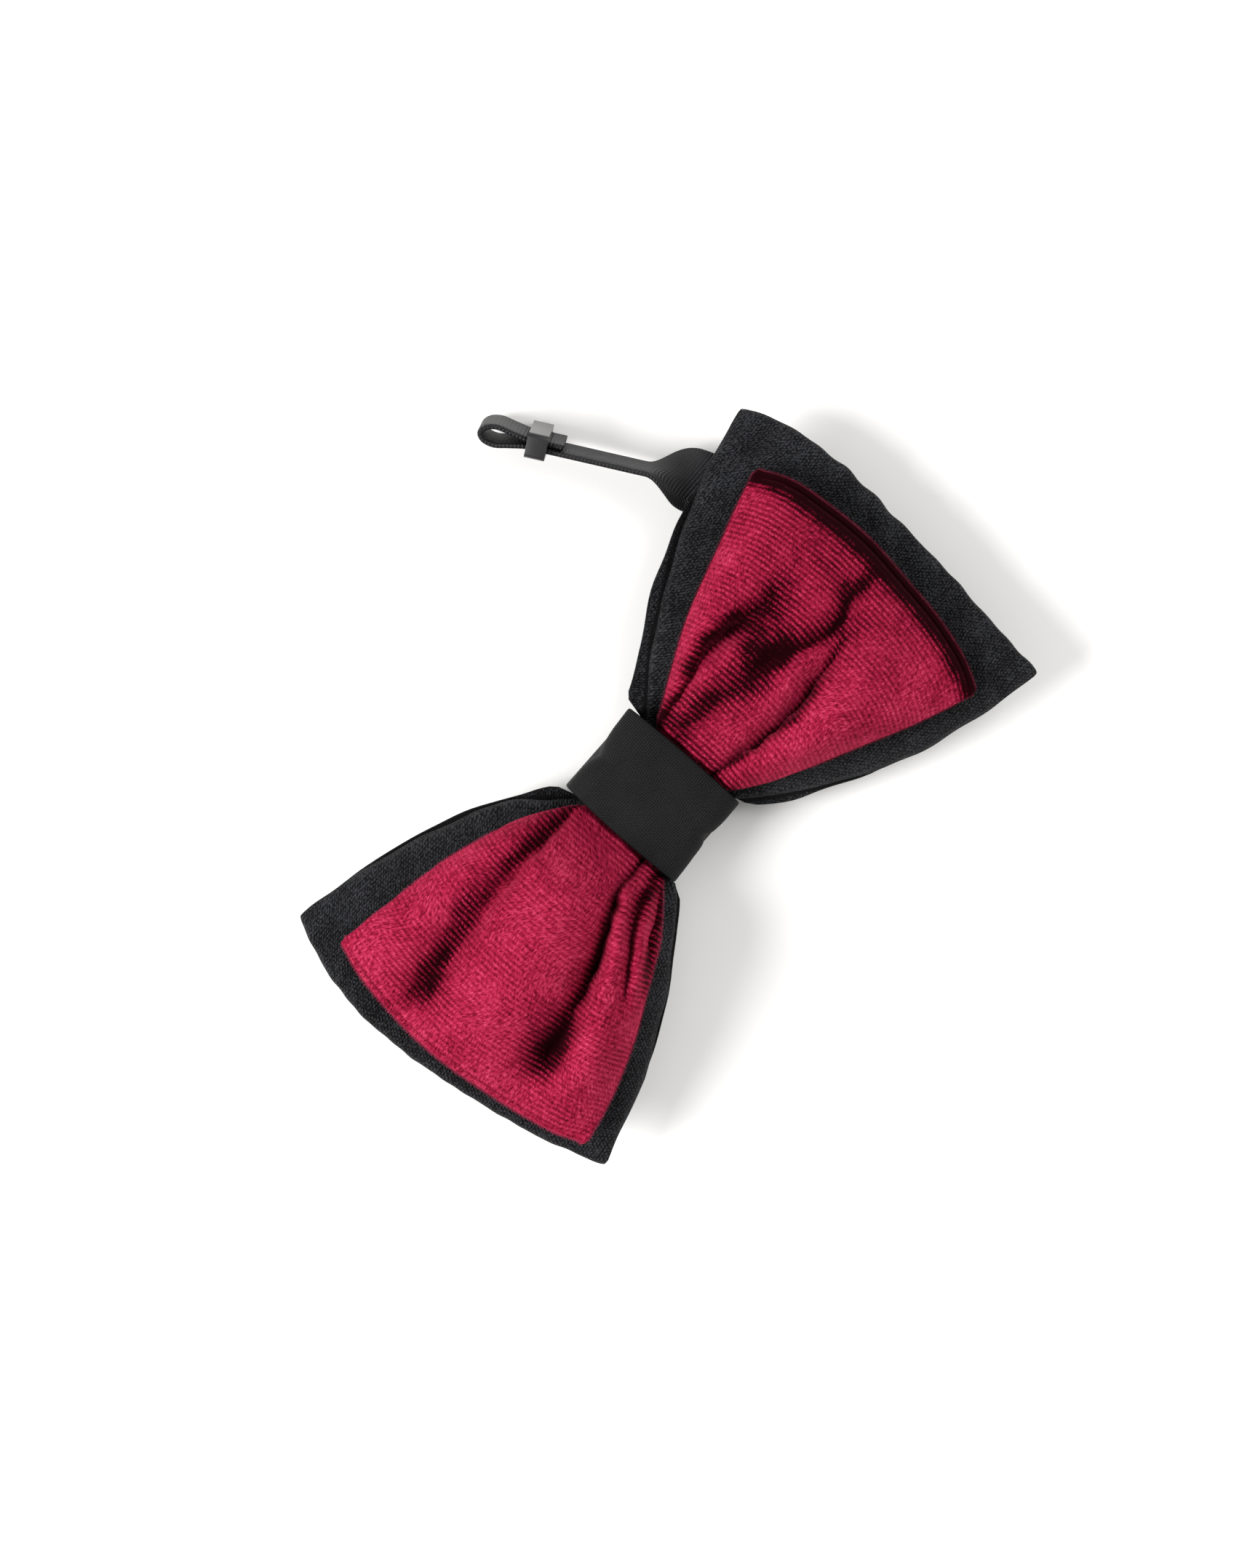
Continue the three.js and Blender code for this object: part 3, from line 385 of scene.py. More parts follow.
def upper_front(wing, u, v):
    x, y = wing_place(UPPER, wing, u, v, "front")
    folds = LEFT_FOLDS if wing.side < 0 else RIGHT_FOLDS
    room = UPPER_PUFF * np.sin(math.pi * np.clip(u, 0, 1)) ** FRONT_SQUARENESS
    crown = 1 - UPPER_FALL * v**2 - (1 - UPPER_FALL) * np.abs(v) ** 8
    depth = FOLD_DEPTH * np.clip(room / FULL_FOLD_PUFF, 0, 1)
    height = room * crown - depth * laid(folds, *wander(x, y, 5))
    height = height + UPPER_UNEVEN * ripple(x, y, 11 + wing.side, 9) * puff(u)
    return upper_back(wing, u, v) + UPPER_LOOP + np.maximum(height, -UPPER_UNEVEN)


# Painted shade beside the knot on each wing and how far it reaches, and along the right wing's
# rim and over its outer half, which face away from the light.
LEFT_SHADE_BY_KNOT, RIGHT_SHADE_BY_KNOT, KNOT_SHADE_REACH = 0.12, 0.35, 5
RIM_SHADE, RIM_REACH, RIM_FADE = 1.2, 5.6, 5.2
OUTER_HALF_SHADE = 0.24


def brushed(wing, x, y):
    """Painted shade on the velvet, 0 where there is none and up to about 1 where it is darkest:
    the streaks along the fold valleys, shade beside the knot and, on the right wing, shade along
    its rim and over its outer half, which face away from the light.
    """
    shade_beside_knot = bell(x - KNOT_HALF, KNOT_SHADE_REACH)
    if wing.side < 0:
        return laid(LEFT_SHADE_STREAKS, *wander(x, y, 7)) + LEFT_SHADE_BY_KNOT * shade_beside_knot
    from_rim = through(wing.outer, y) - x
    rim = RIM_SHADE * smooth((RIM_REACH - from_rim) / RIM_FADE) ** 1.3
    outer_half_shade = OUTER_HALF_SHADE * smooth((x - 30) / 16) * bell(y - 2, 16)
    painted_dark = laid(RIGHT_SHADE_STREAKS, *wander(x, y, 7))
    return painted_dark + RIGHT_SHADE_BY_KNOT * shade_beside_knot + (rim + outer_half_shade)


# ---- Cloth as a mesh -------------------------------------------------------------------
EDGE_ARC = np.radians([30, 60, 90, 120, 150])


def unit(vectors):
    return vectors / np.maximum(np.linalg.norm(vectors, axis=-1, keepdims=True), 1e-9)


def run_lengths(grid, axis):
    """How far each point is along its own row or column of the grid."""
    steps = np.linalg.norm(np.diff(grid, axis=axis), axis=2)
    zero = np.zeros_like(steps[:1] if axis == 0 else steps[:, :1])
    return np.concatenate([zero, np.cumsum(steps, axis=axis)], axis=axis)


def object_from(name, points_mm, faces, attributes=()):
    mesh = bpy.data.meshes.new(name)
    mesh.from_pydata((np.asarray(points_mm) * MM).tolist(), [], faces)
    mesh.validate()
    for label, values in attributes:
        layer = mesh.attributes.new(label, "FLOAT_VECTOR", "POINT")
        layer.data.foreach_set("vector", np.asarray(values, np.float32).ravel())
    work = bmesh.new()
    work.from_mesh(mesh)
    bmesh.ops.recalc_face_normals(work, faces=work.faces)
    work.to_mesh(mesh)
    work.free()
    mesh.shade_smooth()
    obj = bpy.data.objects.new(name, mesh)
    bpy.context.scene.collection.objects.link(obj)
    return obj


def cloth(name, grid, thickness, normals=None, along=None, painted_shade=None):
    """A sheet with rounded long edges. grid is its middle surface, station by station. The mesh
    keeps where each point lies in the flat cloth, in mm, as cloth_mm, and the painted shade it is
    given."""
    if normals is None:
        forward = np.gradient(grid, axis=0)
        sideways = np.gradient(grid, axis=1)
        normals = unit(np.cross(forward, sideways))
    thickness = np.broadcast_to(thickness, grid.shape[:2])
    half = thickness[..., None] / 2
    if along is None:
        along = run_lengths(grid, 0)
    across = run_lengths(grid, 1)
    across = across - across[:, -1:] / 2
    first_out = unit(grid[:, 0] - grid[:, 1])
    last_out = unit(grid[:, -1] - grid[:, -2])

    def edge(j, outward, angles):
        rings = []
        for angle in angles:
            lift = normals[:, j] * math.cos(angle) + outward * math.sin(angle)
            rings.append(grid[:, j] + lift * half[:, j])
        return rings

    rows = grid.shape[1]
    loop, where = [], []
    for j in range(rows):
        loop.append(grid[:, j] + normals[:, j] * half[:, j])
        where.append((along[:, j], across[:, j], half[:, j, 0]))
    for angle, ring in zip(EDGE_ARC, edge(rows - 1, last_out, EDGE_ARC)):
        loop.append(ring)
        reach = half[:, -1, 0] * angle
        where.append((along[:, -1], across[:, -1] + reach, half[:, -1, 0] * math.cos(angle)))
    for j in range(rows - 1, -1, -1):
        loop.append(grid[:, j] - normals[:, j] * half[:, j])
        where.append((along[:, j], across[:, j], -half[:, j, 0]))
    for angle, ring in zip(EDGE_ARC[::-1], edge(0, first_out, EDGE_ARC[::-1])):
        loop.append(ring)
        reach = half[:, 0, 0] * angle
        where.append((along[:, 0], across[:, 0] - reach, half[:, 0, 0] * math.cos(angle)))
    points = np.stack(loop, axis=1)
    where = np.stack([np.stack(place, axis=-1) for place in where], axis=1)
    stations, around = points.shape[:2]
    faces = []
    bulge = len(EDGE_ARC)
    for i in range(stations - 1):
        for k in range(around):
            n = (k + 1) % around
            here, ahead = i * around, (i + 1) * around
            faces.append((here + k, here + n, ahead + n, ahead + k))
    for i in (0, stations - 1):
        base = i * around
        for j in range(rows - 1):
            opposite = 2 * rows + bulge - 1 - j
            faces.append((base + j, base + j + 1, base + opposite - 1, base + opposite))
        faces.append([base + k for k in range(rows - 1, rows + bulge + 1)])
        faces.append([base + k for k in range(2 * rows + bulge - 1, around)] + [base])
    attributes = [("cloth_mm", where.reshape(-1, 3))]
    if painted_shade is not None:
        first, last = (np.repeat(painted_shade[:, j], bulge, 1) for j in ([0], [-1]))
        around_mark = np.concatenate([painted_shade, last, painted_shade[:, ::-1], first], axis=1)
        attributes.append(("painted_shade", np.repeat(around_mark.reshape(-1, 1), 3, 1)))
    return object_from(name, points.reshape(-1, 3), faces, attributes)


# ---- The bows --------------------------------------------------------------------------
def rolled(points):
    """How far the front ply's long edges are rolled over: a soft bead that fades outwards."""
    from_edges = [np.linalg.norm(points - points[:, [j]], axis=2) for j in (0, -1)]
    fade = 1 - smooth((np.abs(points[..., 0]) - ROLL_FADES_FROM) / ROLL_FADES_OVER)
    return ROLLED_EDGE * fade * sum(bell(away, ROLL_WIDTH) for away in from_edges)


def bow_strip(
        name, bow, back, front, rows, back_steps, front_steps, fold_steps, place, paint_shade_with=None,
        roll=None):
    """The whole strip: middle of the back, round the left wing, over the front, round the
    right wing and back to the middle. Its rows are a fixed way from the knot on each ply."""
    v = np.linspace(-1, 1, rows)[None, :]
    edge = np.ones((1, 1))

    def ply(wing, steps, height, layer):
        inside = np.linspace(-1 + CLEARANCE / KNOT_HALF, 0, 4)[:-1]
        u = np.concatenate([inside, np.linspace(0, 1, steps) ** 1.15])[:, None]
        x, y = place(bow, wing, u, v, layer)
        z = np.broadcast_to(height(wing, u, v), x.shape)
        return np.stack([wing.side * x, y, z], axis=-1), x[:, rows // 2]

    def turn(wing):
        (x, y), (top_x, top_y) = (place(bow, wing, edge, v, layer) for layer in ("back", "front"))
        low, high = back(wing, edge, v), front(wing, edge, v)
        radius = (high - low) / 2
        angle = (math.pi * np.arange(1, fold_steps) / fold_steps)[:, None]
        share = (1 - np.cos(angle)) / 2
        x = mix(x, top_x, share) + radius * np.sin(angle)
        y, z = mix(y, top_y, share), low + 2 * radius * share
        points = np.stack([wing.side * x, y, z], axis=-1)
        start = place(bow, wing, edge, 0 * edge, "front")[0][0, 0]
        return points, start + (math.pi - angle[:, 0]) * radius[0, rows // 2]

    left, right = bow.wings
    strips = []
    for wing in (left, right):
        back_ply, fold, front_ply = ply(wing, back_steps, back, "back"), turn(wing), ply(
            wing, front_steps, front, "front")
        strips.append((back_ply, fold, tuple(part[::-1] for part in front_ply)))
    strips[1] = [tuple(part[::-1] for part in piece) for piece in strips[1][::-1]]
    pieces = [*strips[0], *strips[1]]
    grid = np.concatenate([points for points, _ in pieces])
    along = np.concatenate([reach for _, reach in pieces])[:, None] * np.ones((1, rows))
    thickness = bow.cloth
    if roll:
        thickness = bow.cloth + np.concatenate([
            roll(points) if k in (2, 3) else np.zeros(points.shape[:2])
            for k, (points, _) in enumerate(pieces)])
    painted_shade = None
    if paint_shade_with:
        painted_shade = np.concatenate([
            paint_shade_with(wing, np.abs(points[..., 0]), points[..., 1])
            for wing, strip in ((left, strips[0]), (right, strips[1])) for points, _ in strip])
    return cloth(name, grid, thickness, along=along, painted_shade=painted_shade)


FOLD_WAVER, EDGE_WAVER = 0.2, 0.14


def lower_place(bow, wing, u, v, layer):
    """The crepe's folds and edges aren't quite straight."""
    x, y = wing_place(bow, wing, u, v, layer)
    edge = smooth((np.abs(v) - 0.7) / 0.3) * smooth(u * 4) * np.sign(v)
    outer = smooth((u - 0.8) / 0.2)
    x = x + FOLD_WAVER * outer * ripple(y, 0 * y, 31 + wing.side, 8)
    return x, y + EDGE_WAVER * edge * ripple(x, 0 * x, 41 + wing.side, 7)


CRUMPLE, RIM_CREASE = 0.16, 0.3
RIGHT_ROUGHER = 1.6                  # the right wing has been handled more than the left


def lower_crumple(wing, u, v):
    x, y = wing_place(LOWER, wing, u, v, "front")
    rough = RIGHT_ROUGHER if wing.side > 0 else 1.0
    rim = smooth((u - 0.78) / 0.15)
    creases = RIM_CREASE * rough * rim * ripple(0.4 * x, y, 61 + wing.side, 4.2)
    return CRUMPLE * rough * ripple(x, y, 51 + wing.side, 6) * smooth(u * 3) + creases


CREASE_SHADE_OFF_EDGE, CREASE_SHADE_WIDTH = 0.7, 0.5


def lower_crease_shade(wing, x, y):
    """1 in the painted shade of the crease where the front ply's edge lies on the back ply, 0
    away from it.
    """
    total = 0
    edges = ((1, wing.top, wing.front_top), (-1, wing.bottom, wing.front_bottom))
    for side, edge, inset in edges:
        drawn_in = through(inset, x)
        line = side * (through(edge, x) - drawn_in + CREASE_SHADE_OFF_EDGE)
        total = total + bell(y - line, CREASE_SHADE_WIDTH) * smooth((drawn_in - 0.4) / 0.7)
    return total


def lower_back_real(wing, u, v):
    return lower_back(wing, u, v) + 0.5 * lower_crumple(wing, u, v)


def lower_front_real(wing, u, v):
    """The ply rolls down at its long edges until it lies on the back ply."""
    rim = np.clip((np.abs(v) - 0.9) / 0.1, 0, 1)
    roll = 1 - np.sqrt(1 - rim**2)
    puffed = LOWER_PUFF_SHARE * LOWER_PUFF * puff(u)
    height = (puffed + lower_crumple(wing, u, v)) * (1 - 0.8 * roll)
    return lower_back(wing, u, v) + LOWER_LOOP + height - 0.5 * roll


def upper_place(bow, wing, u, v, layer):
    """The velvet's outer corners are pushed out a little, by the cloth folded inside."""
    x, y = wing_place(bow, wing, u, v, layer)
    corner = smooth((u - 0.98) / 0.02) * smooth((np.abs(v) - 0.97) / 0.03)
    return x + 0.1 * corner, y + 0.08 * corner * np.sign(v)


# ---- Materials -------------------------------------------------------------------------
MATH, VECTOR_MATH, RANGE = "ShaderNodeMath", "ShaderNodeVectorMath", "ShaderNodeMapRange"
NOISE, BUMP, BLEND = "ShaderNodeTexNoise", "ShaderNodeBump", "ShaderNodeMix"
ATTRIBUTE = "ShaderNodeAttribute"


def srgb(code):
    """A colour from its sRGB hex code, as the linear values that shaders take."""
    parts = [int(code[k:k + 2], 16) / 255 for k in (1, 3, 5)]
    return (*[c / 12.92 if c <= 0.04045 else ((c + 0.055) / 1.055) ** 2.4 for c in parts], 1)


def add(tree, kind, inputs=(), **settings):
    """One node. Its inputs are plain values, sockets to link, or nodes whose first output is
    linked; they come in order, or by name or number."""
    made = tree.nodes.new(kind)
    for key, value in settings.items():
        setattr(made, key, value)
    for key, value in inputs.items() if isinstance(inputs, dict) else enumerate(inputs):
        source = value.outputs[0] if isinstance(value, bpy.types.Node) else value
        if isinstance(source, bpy.types.NodeSocket):
            tree.links.new(source, made.inputs[key])
        else:
            made.inputs[key].default_value = source
    return made


def material(name, pattern, **shader_values):
    """A material whose pattern gives its colour and its relief, as a colour and a normal."""
    made = bpy.data.materials.new(name)
    made.use_nodes = True
    tree = made.node_tree
    shader = tree.nodes["Principled BSDF"]
    for key, value in shader_values.items():
        shader.inputs[key.replace("_", " ")].default_value = value
    colour, relief = pattern(tree)
    tree.links.new(colour, shader.inputs["Base Color"])
    tree.links.new(relief, shader.inputs["Normal"])
    return made


def cloth_place(tree):
    """Where a point lies in the flat cloth, in mm: the place, along the strip, across it."""
    place = add(tree, ATTRIBUTE, attribute_name="cloth_mm").outputs["Vector"]
    split = add(tree, "ShaderNodeSeparateXYZ", (place,)).outputs
    return place, split[0], split[1]


def wave(tree, value, pitch_mm):
    """0 to 1 and back once in every pitch."""
    angle = add(tree, MATH, (value, 2 * math.pi / pitch_mm, 0.0), operation="MULTIPLY_ADD")
    swing = add(tree, MATH, (angle,), operation="COSINE")
    return add(tree, MATH, (swing, 0.5, 0.5), operation="MULTIPLY_ADD")


def velvet_pattern(tree):
    place, along, across = cloth_place(tree)
    painted_dark = add(tree, ATTRIBUTE, attribute_name="painted_shade").outputs["Fac"]
    swells, sway, scatter, speckle, fibre, patches, drift = (
        add(tree, NOISE, {
            "Vector": place, "Scale": 1 / size_mm, "Detail": detail, "Roughness": rough})
        for size_mm, detail, rough in (
            (7.0, 3, 0.5), (2.0, 4, 0.6), (0.8, 3, 0.5), (0.42, 2, 0.6), (0.2, 2, 0.7),
            (2.6, 5, 0.7), (8.0, 3, 0.5)))
    # Where the painted shade lies, the pile is drawn leaning away, so its rows part and show;
    # where it stands, it is only mottled.
    lean = add(tree, MATH, (painted_dark, 0.9, swells), operation="MULTIPLY_ADD")
    lean = add(tree, RANGE, (lean, 0.35, 0.95, 0.15, 1.0))
    swayed = add(tree, MATH, (sway, 0.55, along), operation="MULTIPLY_ADD")
    rows = add(tree, MATH, (swayed, VELVET_ROW_MM), operation="DIVIDE")
    shifted = add(tree, MATH, (add(tree, MATH, (rows,), operation="ROUND"), 0.37, across),
                  operation="MULTIPLY_ADD")
    scattered = add(tree, MATH, (scatter, 1.8, shifted), operation="MULTIPLY_ADD")
    dots = add(tree, RANGE, (speckle, 0.38, 0.62))
    dots = add(tree, MATH, (dots, 0.7, 0.2), operation="MULTIPLY_ADD")
    tuft = add(tree, MATH, (wave(tree, scattered, VELVET_TUFT_MM), 0.35, dots),
               operation="MULTIPLY_ADD")
    row = add(tree, MATH, (wave(tree, rows, 1.0), tuft), operation="MULTIPLY")
    drawn_out = add(tree, VECTOR_MATH, (place, (0.5, 1.0, 1.0)), operation="MULTIPLY").outputs[0]
    dashes = add(tree, NOISE, {
        "Vector": drawn_out, "Scale": 1 / 0.34, "Detail": 3, "Roughness": 0.65})
    dashes = add(tree, RANGE, (dashes, 0.34, 0.66))
    parted = add(tree, MATH, (row, dashes), operation="SUBTRACT")
    nap = add(tree, MATH, (lean, parted, dashes), operation="MULTIPLY_ADD")
    nap = add(tree, MATH, (fibre, 0.8, add(tree, MATH, (nap, 0.4), operation="SUBTRACT")),
              operation="MULTIPLY_ADD")
    # Painted shade: the mark, broken into patches, takes the tone down towards black and lowers
    # the nap's contrast.
    patchy = add(tree, MATH, (patches, 2.4, -0.3), operation="MULTIPLY_ADD")
    dark = add(tree, MATH, (painted_dark, patchy), operation="MULTIPLY")
    dark = add(tree, MATH, (dark, 0.66), operation="MULTIPLY")
    contrast = add(tree, RANGE, (painted_dark, 0.3, 1.0, 0.62, 0.2))
    drift = add(tree, MATH, (drift, 0.4), operation="MULTIPLY")
    tone = add(tree, MATH, (nap, contrast, drift), operation="MULTIPLY_ADD")
    tone = add(tree, MATH, (tone, dark), operation="SUBTRACT")
    ramp = add(tree, "ShaderNodeValToRGB", (tone,))
    stops = ramp.color_ramp.elements
    stops[0].color, stops[1].color = srgb("#180003"), srgb("#ba546f")
    for at, code in ((0.22, "#5a061b"), (0.5, "#901937"), (0.78, "#b03551")):
        stops.new(at).color = srgb(code)
    relief = add(tree, BUMP, {"Strength": 0.5, "Distance": 0.2 * MM, "Height": nap})
    return ramp.outputs[0], relief.outputs[0]


def crepe_pattern(tree):
    place, along, across = cloth_place(tree)
    crease = add(tree, ATTRIBUTE, attribute_name="painted_shade").outputs["Fac"]
    pebble, drift, crumple = (
        add(tree, NOISE, {"Vector": place, "Scale": 1 / size_mm, "Detail": 3, "Roughness": rough})
        for size_mm, rough in ((0.42, 0.7), (5.0, 0.5), (2.4, 0.5)))
    slant = add(tree, MATH, (across, 0.8, along), operation="MULTIPLY_ADD")
    yarn, pick = wave(tree, slant, CREPE_YARN_MM), wave(tree, across, CREPE_PICK_MM)
    weave = add(tree, MATH, (yarn, pick), operation="MULTIPLY")
    pebble = add(tree, RANGE, (pebble, 0.33, 0.7))
    height = add(tree, MATH, (weave, 0.6, pebble), operation="MULTIPLY_ADD")
    tone = add(tree, MATH, (height, 1.3, -0.9), operation="MULTIPLY_ADD")
    tone = add(tree, MATH, (drift, 0.7, tone), operation="MULTIPLY_ADD")
    # Painted shade: the crease mark takes the crepe almost to black beside the front ply's edge.
    tone = add(tree, MATH, (crease, -1.6, tone), operation="MULTIPLY_ADD")
    colour = add(tree, BLEND, {0: tone, 6: srgb("#010102"), 7: srgb("#3b3c40")}, data_type="RGBA")
    crumpled = add(tree, BUMP, {"Strength": 0.7, "Distance": 0.5 * MM, "Height": crumple})
    relief = add(tree, BUMP, {
        "Strength": 0.9, "Distance": 0.26 * MM, "Height": height, "Normal": crumpled})
    return colour.outputs[2], relief.outputs[0]


def worsted_pattern(tree):
    place, along, across = cloth_place(tree)
    bend, slub, drift = (
        add(tree, NOISE, {"Vector": place, "Scale": 1 / size_mm}) for size_mm in (3.0, 0.3, 6.0))
    bent = add(tree, MATH, (bend, 0.5, along), operation="MULTIPLY_ADD")
    warp, weft = wave(tree, bent, WORSTED_WARP_MM), wave(tree, across, WORSTED_WEFT_MM)
    grain = add(tree, MATH, (warp, weft), operation="MULTIPLY")
    height = add(tree, MATH, (slub, 0.5, grain), operation="MULTIPLY_ADD")
    tone = add(tree, MATH, (height, 0.95, -0.3), operation="MULTIPLY_ADD")
    tone = add(tree, MATH, (drift, 0.3, tone), operation="MULTIPLY_ADD")
    colour = add(tree, BLEND, {0: tone, 6: srgb("#020203"), 7: srgb("#272728")}, data_type="RGBA")
    relief = add(tree, BUMP, {"Strength": 0.8, "Distance": 0.12 * MM, "Height": height})
    return colour.outputs[2], relief.outputs[0]


def tape_pattern(tree):
    place, along, across = cloth_place(tree)
    rib, warp = wave(tree, along, TAPE_RIB_MM), wave(tree, across, TAPE_WARP_MM)
    height = add(tree, MATH, (warp, 0.35, rib), operation="MULTIPLY_ADD")
    slub = add(tree, NOISE, {"Vector": place, "Scale": 1 / 0.25})
    height = add(tree, MATH, (slub, 0.4, height), operation="MULTIPLY_ADD")
    tone = add(tree, MATH, (height, 0.55), operation="MULTIPLY")
    colour = add(tree, BLEND, {0: tone, 6: srgb("#08080a"), 7: srgb("#1d1d20")}, data_type="RGBA")
    relief = add(tree, BUMP, {"Strength": 0.9, "Distance": 0.12 * MM, "Height": height})
    return colour.outputs[2], relief.outputs[0]


def grain_pattern(dark, light, size_mm, relief_mm=0.0):
    """Grain read from the object's own coordinates, for small pieces without a weave."""
    def pattern(tree):
        where = add(tree, "ShaderNodeTexCoord").outputs["Object"]
        place = add(tree, VECTOR_MATH, {0: where, "Scale": 1 / MM}, operation="SCALE").outputs[0]
        grain = add(tree, NOISE, {"Vector": place, "Scale": 1 / size_mm, "Detail": 3})
        colour = add(tree, BLEND, {0: grain, 6: srgb(dark), 7: srgb(light)}, data_type="RGBA")
        relief = add(tree, BUMP, {"Strength": 1.0, "Distance": relief_mm * MM, "Height": grain})
        return colour.outputs[2], relief.outputs[0]
    return pattern


# Cotton velvet, woven with a cut pile and brushed outwards from the knot: the rows of tufts catch
# the light along their tips, and painted shade from the mark takes them almost to black along the
# fold valleys, beside the knot and on the right wing's rim.
VELVET_ROW_MM, VELVET_TUFT_MM = 0.85, 0.6
VELVET = material(
    "velvet, cut pile brushed outwards", velvet_pattern, Roughness=0.85, Specular_IOR_Level=0.03,
    Sheen_Weight=0.4, Sheen_Roughness=0.3, Sheen_Tint=srgb("#d8405f"))
# Black crepe, woven from hard-twisted yarn: a dull, pebbled face with hardly a glint.
CREPE_YARN_MM, CREPE_PICK_MM = 0.62, 0.5
CREPE = material(
    "crepe, hard-twisted and pressed", crepe_pattern, Roughness=0.6, Specular_IOR_Level=0.13)
# Fine black worsted, pressed flat: a tiny even grain of threads that shows close to. It is
# drawn a little coarser than its real 0.3 mm threads, so that they show.
WORSTED_WARP_MM, WORSTED_WEFT_MM = 0.4, 0.36
WORSTED = material(
    "worsted, fine and pressed flat", worsted_pattern, Roughness=0.64, Specular_IOR_Level=0.12)
# Narrow black tape, woven with a rib across it, so its face has a dull silky glint.
TAPE_RIB_MM, TAPE_WARP_MM = 0.62, 0.34
TAPE = material("tape, ribbed weave", tape_pattern, Roughness=0.5, Specular_IOR_Level=0.25)
# Twisted polyester thread, waxed: soft black with a faint sheen on each stitch.
THREAD_BLACK = material(
    "thread, twisted and waxed", grain_pattern("#0c0c0e", "#232326", 0.25, 0.05), Roughness=0.5,
    Specular_IOR_Level=0.5)
# Loose velvet pile at the cut of the cloth: single crimson fibres, soft and half lit.
PILE = material(
    "velvet pile, brushed off its edge", grain_pattern("#5a0a20", "#b03456", 1.5), Roughness=0.8,
    Specular_IOR_Level=0.1)
# The same pile on the side that leans away from the light.
PILE_IN_PAINTED_SHADE = material(
    "velvet pile, brushed under", grain_pattern("#24030b", "#7a1832", 1.5), Roughness=0.8,
    Specular_IOR_Level=0.1)
# Steel, stove-lacquered satin black: dark faces with crisp soft lights on the edges.
LACQUER = material(
    "steel, satin black lacquer", grain_pattern("#0b0b0c", "#1c1c1e", 0.9, 0.01), Roughness=0.38,
    Specular_IOR_Level=0.5, Coat_Weight=0.3, Coat_Roughness=0.2)
# Charcoal interlining, bonded and unwoven: dead matt, seen only as a dark line between plies.
STIFF = material(
    "interlining, bonded and unwoven", grain_pattern("#0e0e10", "#232327", 0.4, 0.05),
    Roughness=0.95, Specular_IOR_Level=0.1)


def wear(obj, stuff):
    obj.data.materials.append(stuff)
    return obj


# ---- Build: bows -----------------------------------------------------------------------
def stand_for(piece, body, node):
    """piece moves with a body and hides that CAD node."""
    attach(piece, body)
    if node:
        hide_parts(node)
    return piece


lower_bow = wear(bow_strip(
    "lower_bow_crepe", LOWER, lower_back_real, lower_front_real, rows=121, back_steps=36,
    front_steps=90, fold_steps=8, place=lower_place, paint_shade_with=lower_crease_shade, roll=rolled), CREPE)
upper_bow = wear(bow_strip(
    "upper_bow_velvet", UPPER, upper_back, upper_front, rows=141, back_steps=24,
    front_steps=130, fold_steps=10, place=upper_place, paint_shade_with=brushed), VELVET)
stand_for(lower_bow, "bow", "lower_bow")
stand_for(upper_bow, "bow", "upper_bow")
def interlining(name, bow, back, share=0.96):
    """The stiffener between the plies, drawn in from their edges."""
    v = np.linspace(-share, share, 31)[None, :]
    sides = []
    for wing in bow.wings:
        u = np.concatenate([np.linspace(-1, 0, 4)[:-1], np.linspace(0, share, 30)])[:, None]
        x, y = wing_place(bow, wing, u, v, "front")
        z = back(wing, u, v) + bow.loop / 2
        sides.append(np.stack([wing.side * x, y, np.broadcast_to(z, x.shape)], axis=-1))
    return cloth(name, np.concatenate([sides[0][:0:-1], sides[1]]), INTERLINING)


for label, bow, back in (("lower", LOWER, lower_back_real), ("upper", UPPER, upper_back)):
    stiffener = wear(interlining(f"{label}_interlining_bonded", bow, back), STIFF)
    stand_for(stiffener, "bow", f"{label}_bow_interlining")

# ---- Build: knot wrap ------------------------------------------------------------------
WRAP_LAP_GAP = 0.04
SAME_PLACE = 0.01


def rounded_path(corners, step):
    """Points along straight lines joined by arcs. Each corner is (y, z, radius)."""
    corners = np.array(corners, float)
    points = [corners[0, :2]]
    for before, (y, z, radius), after in zip(corners, corners[1:], corners[2:]):
        corner = np.array([y, z])
        back, ahead = unit(before[:2] - corner), unit(after[:2] - corner)
        half = math.acos(np.clip(back @ ahead, -1, 1)) / 2
        reach = radius / math.tan(half)
        centre = corner + unit(back + ahead) * radius / math.sin(half)
        start, end = corner + back * reach - centre, corner + ahead * reach - centre
        turn = math.pi - 2 * half
        for t in np.linspace(0, 1, 9):
            weight = np.sin([(1 - t) * turn, t * turn]) / math.sin(turn)
            points.append(centre + weight[0] * start + weight[1] * end)
    points.append(corners[-1, :2])
    path = [points[0]]
    for point in points[1:]:
        start = path[-1]
        gap = np.linalg.norm(point - start)
        if gap < SAME_PLACE:
            continue
        count = max(1, round(gap / step))
        path.extend([mix(start, point, (k + 1) / count) for k in range(count)])
    return np.array(path)


# How far the knot's top and bottom edges stand above their level, from its left to its right.
KNOT_TOP = ((-8.5, -0.3), (-4.5, -0.15), (-2.2, -0.5), (-0.8, -0.95), (0.5, -0.5), (2.2, -0.05),
            (7.6, 0.5))
KNOT_BOTTOM = ((-8.5, -0.7), (-3.5, -0.35), (-0.4, 0.05), (0.8, 0.6), (1.9, 0.1), (3.2, -0.1),
               (8.5, -0.15))
KNOT_CROWN, KNOT_UNEVEN, KNOT_SET_IN = 0.35, 0.22, 0.3
KNOT_EDGE_FROM, KNOT_EDGE_OVER = 7, 3.5     # height over which the edges' shape comes in
KNOT_FRONT_FROM, KNOT_FRONT_OVER = 4, 6     # level over which the back turns into the front
KNOT_FACE_BELOW, KNOT_FACE_OVER = 4.2, 4
KNOT_WIDER, KNOT_TOP_NARROWER = 0.03, 0.02
KNOT_PATH_STEP, KNOT_COLUMNS = 0.45, 41


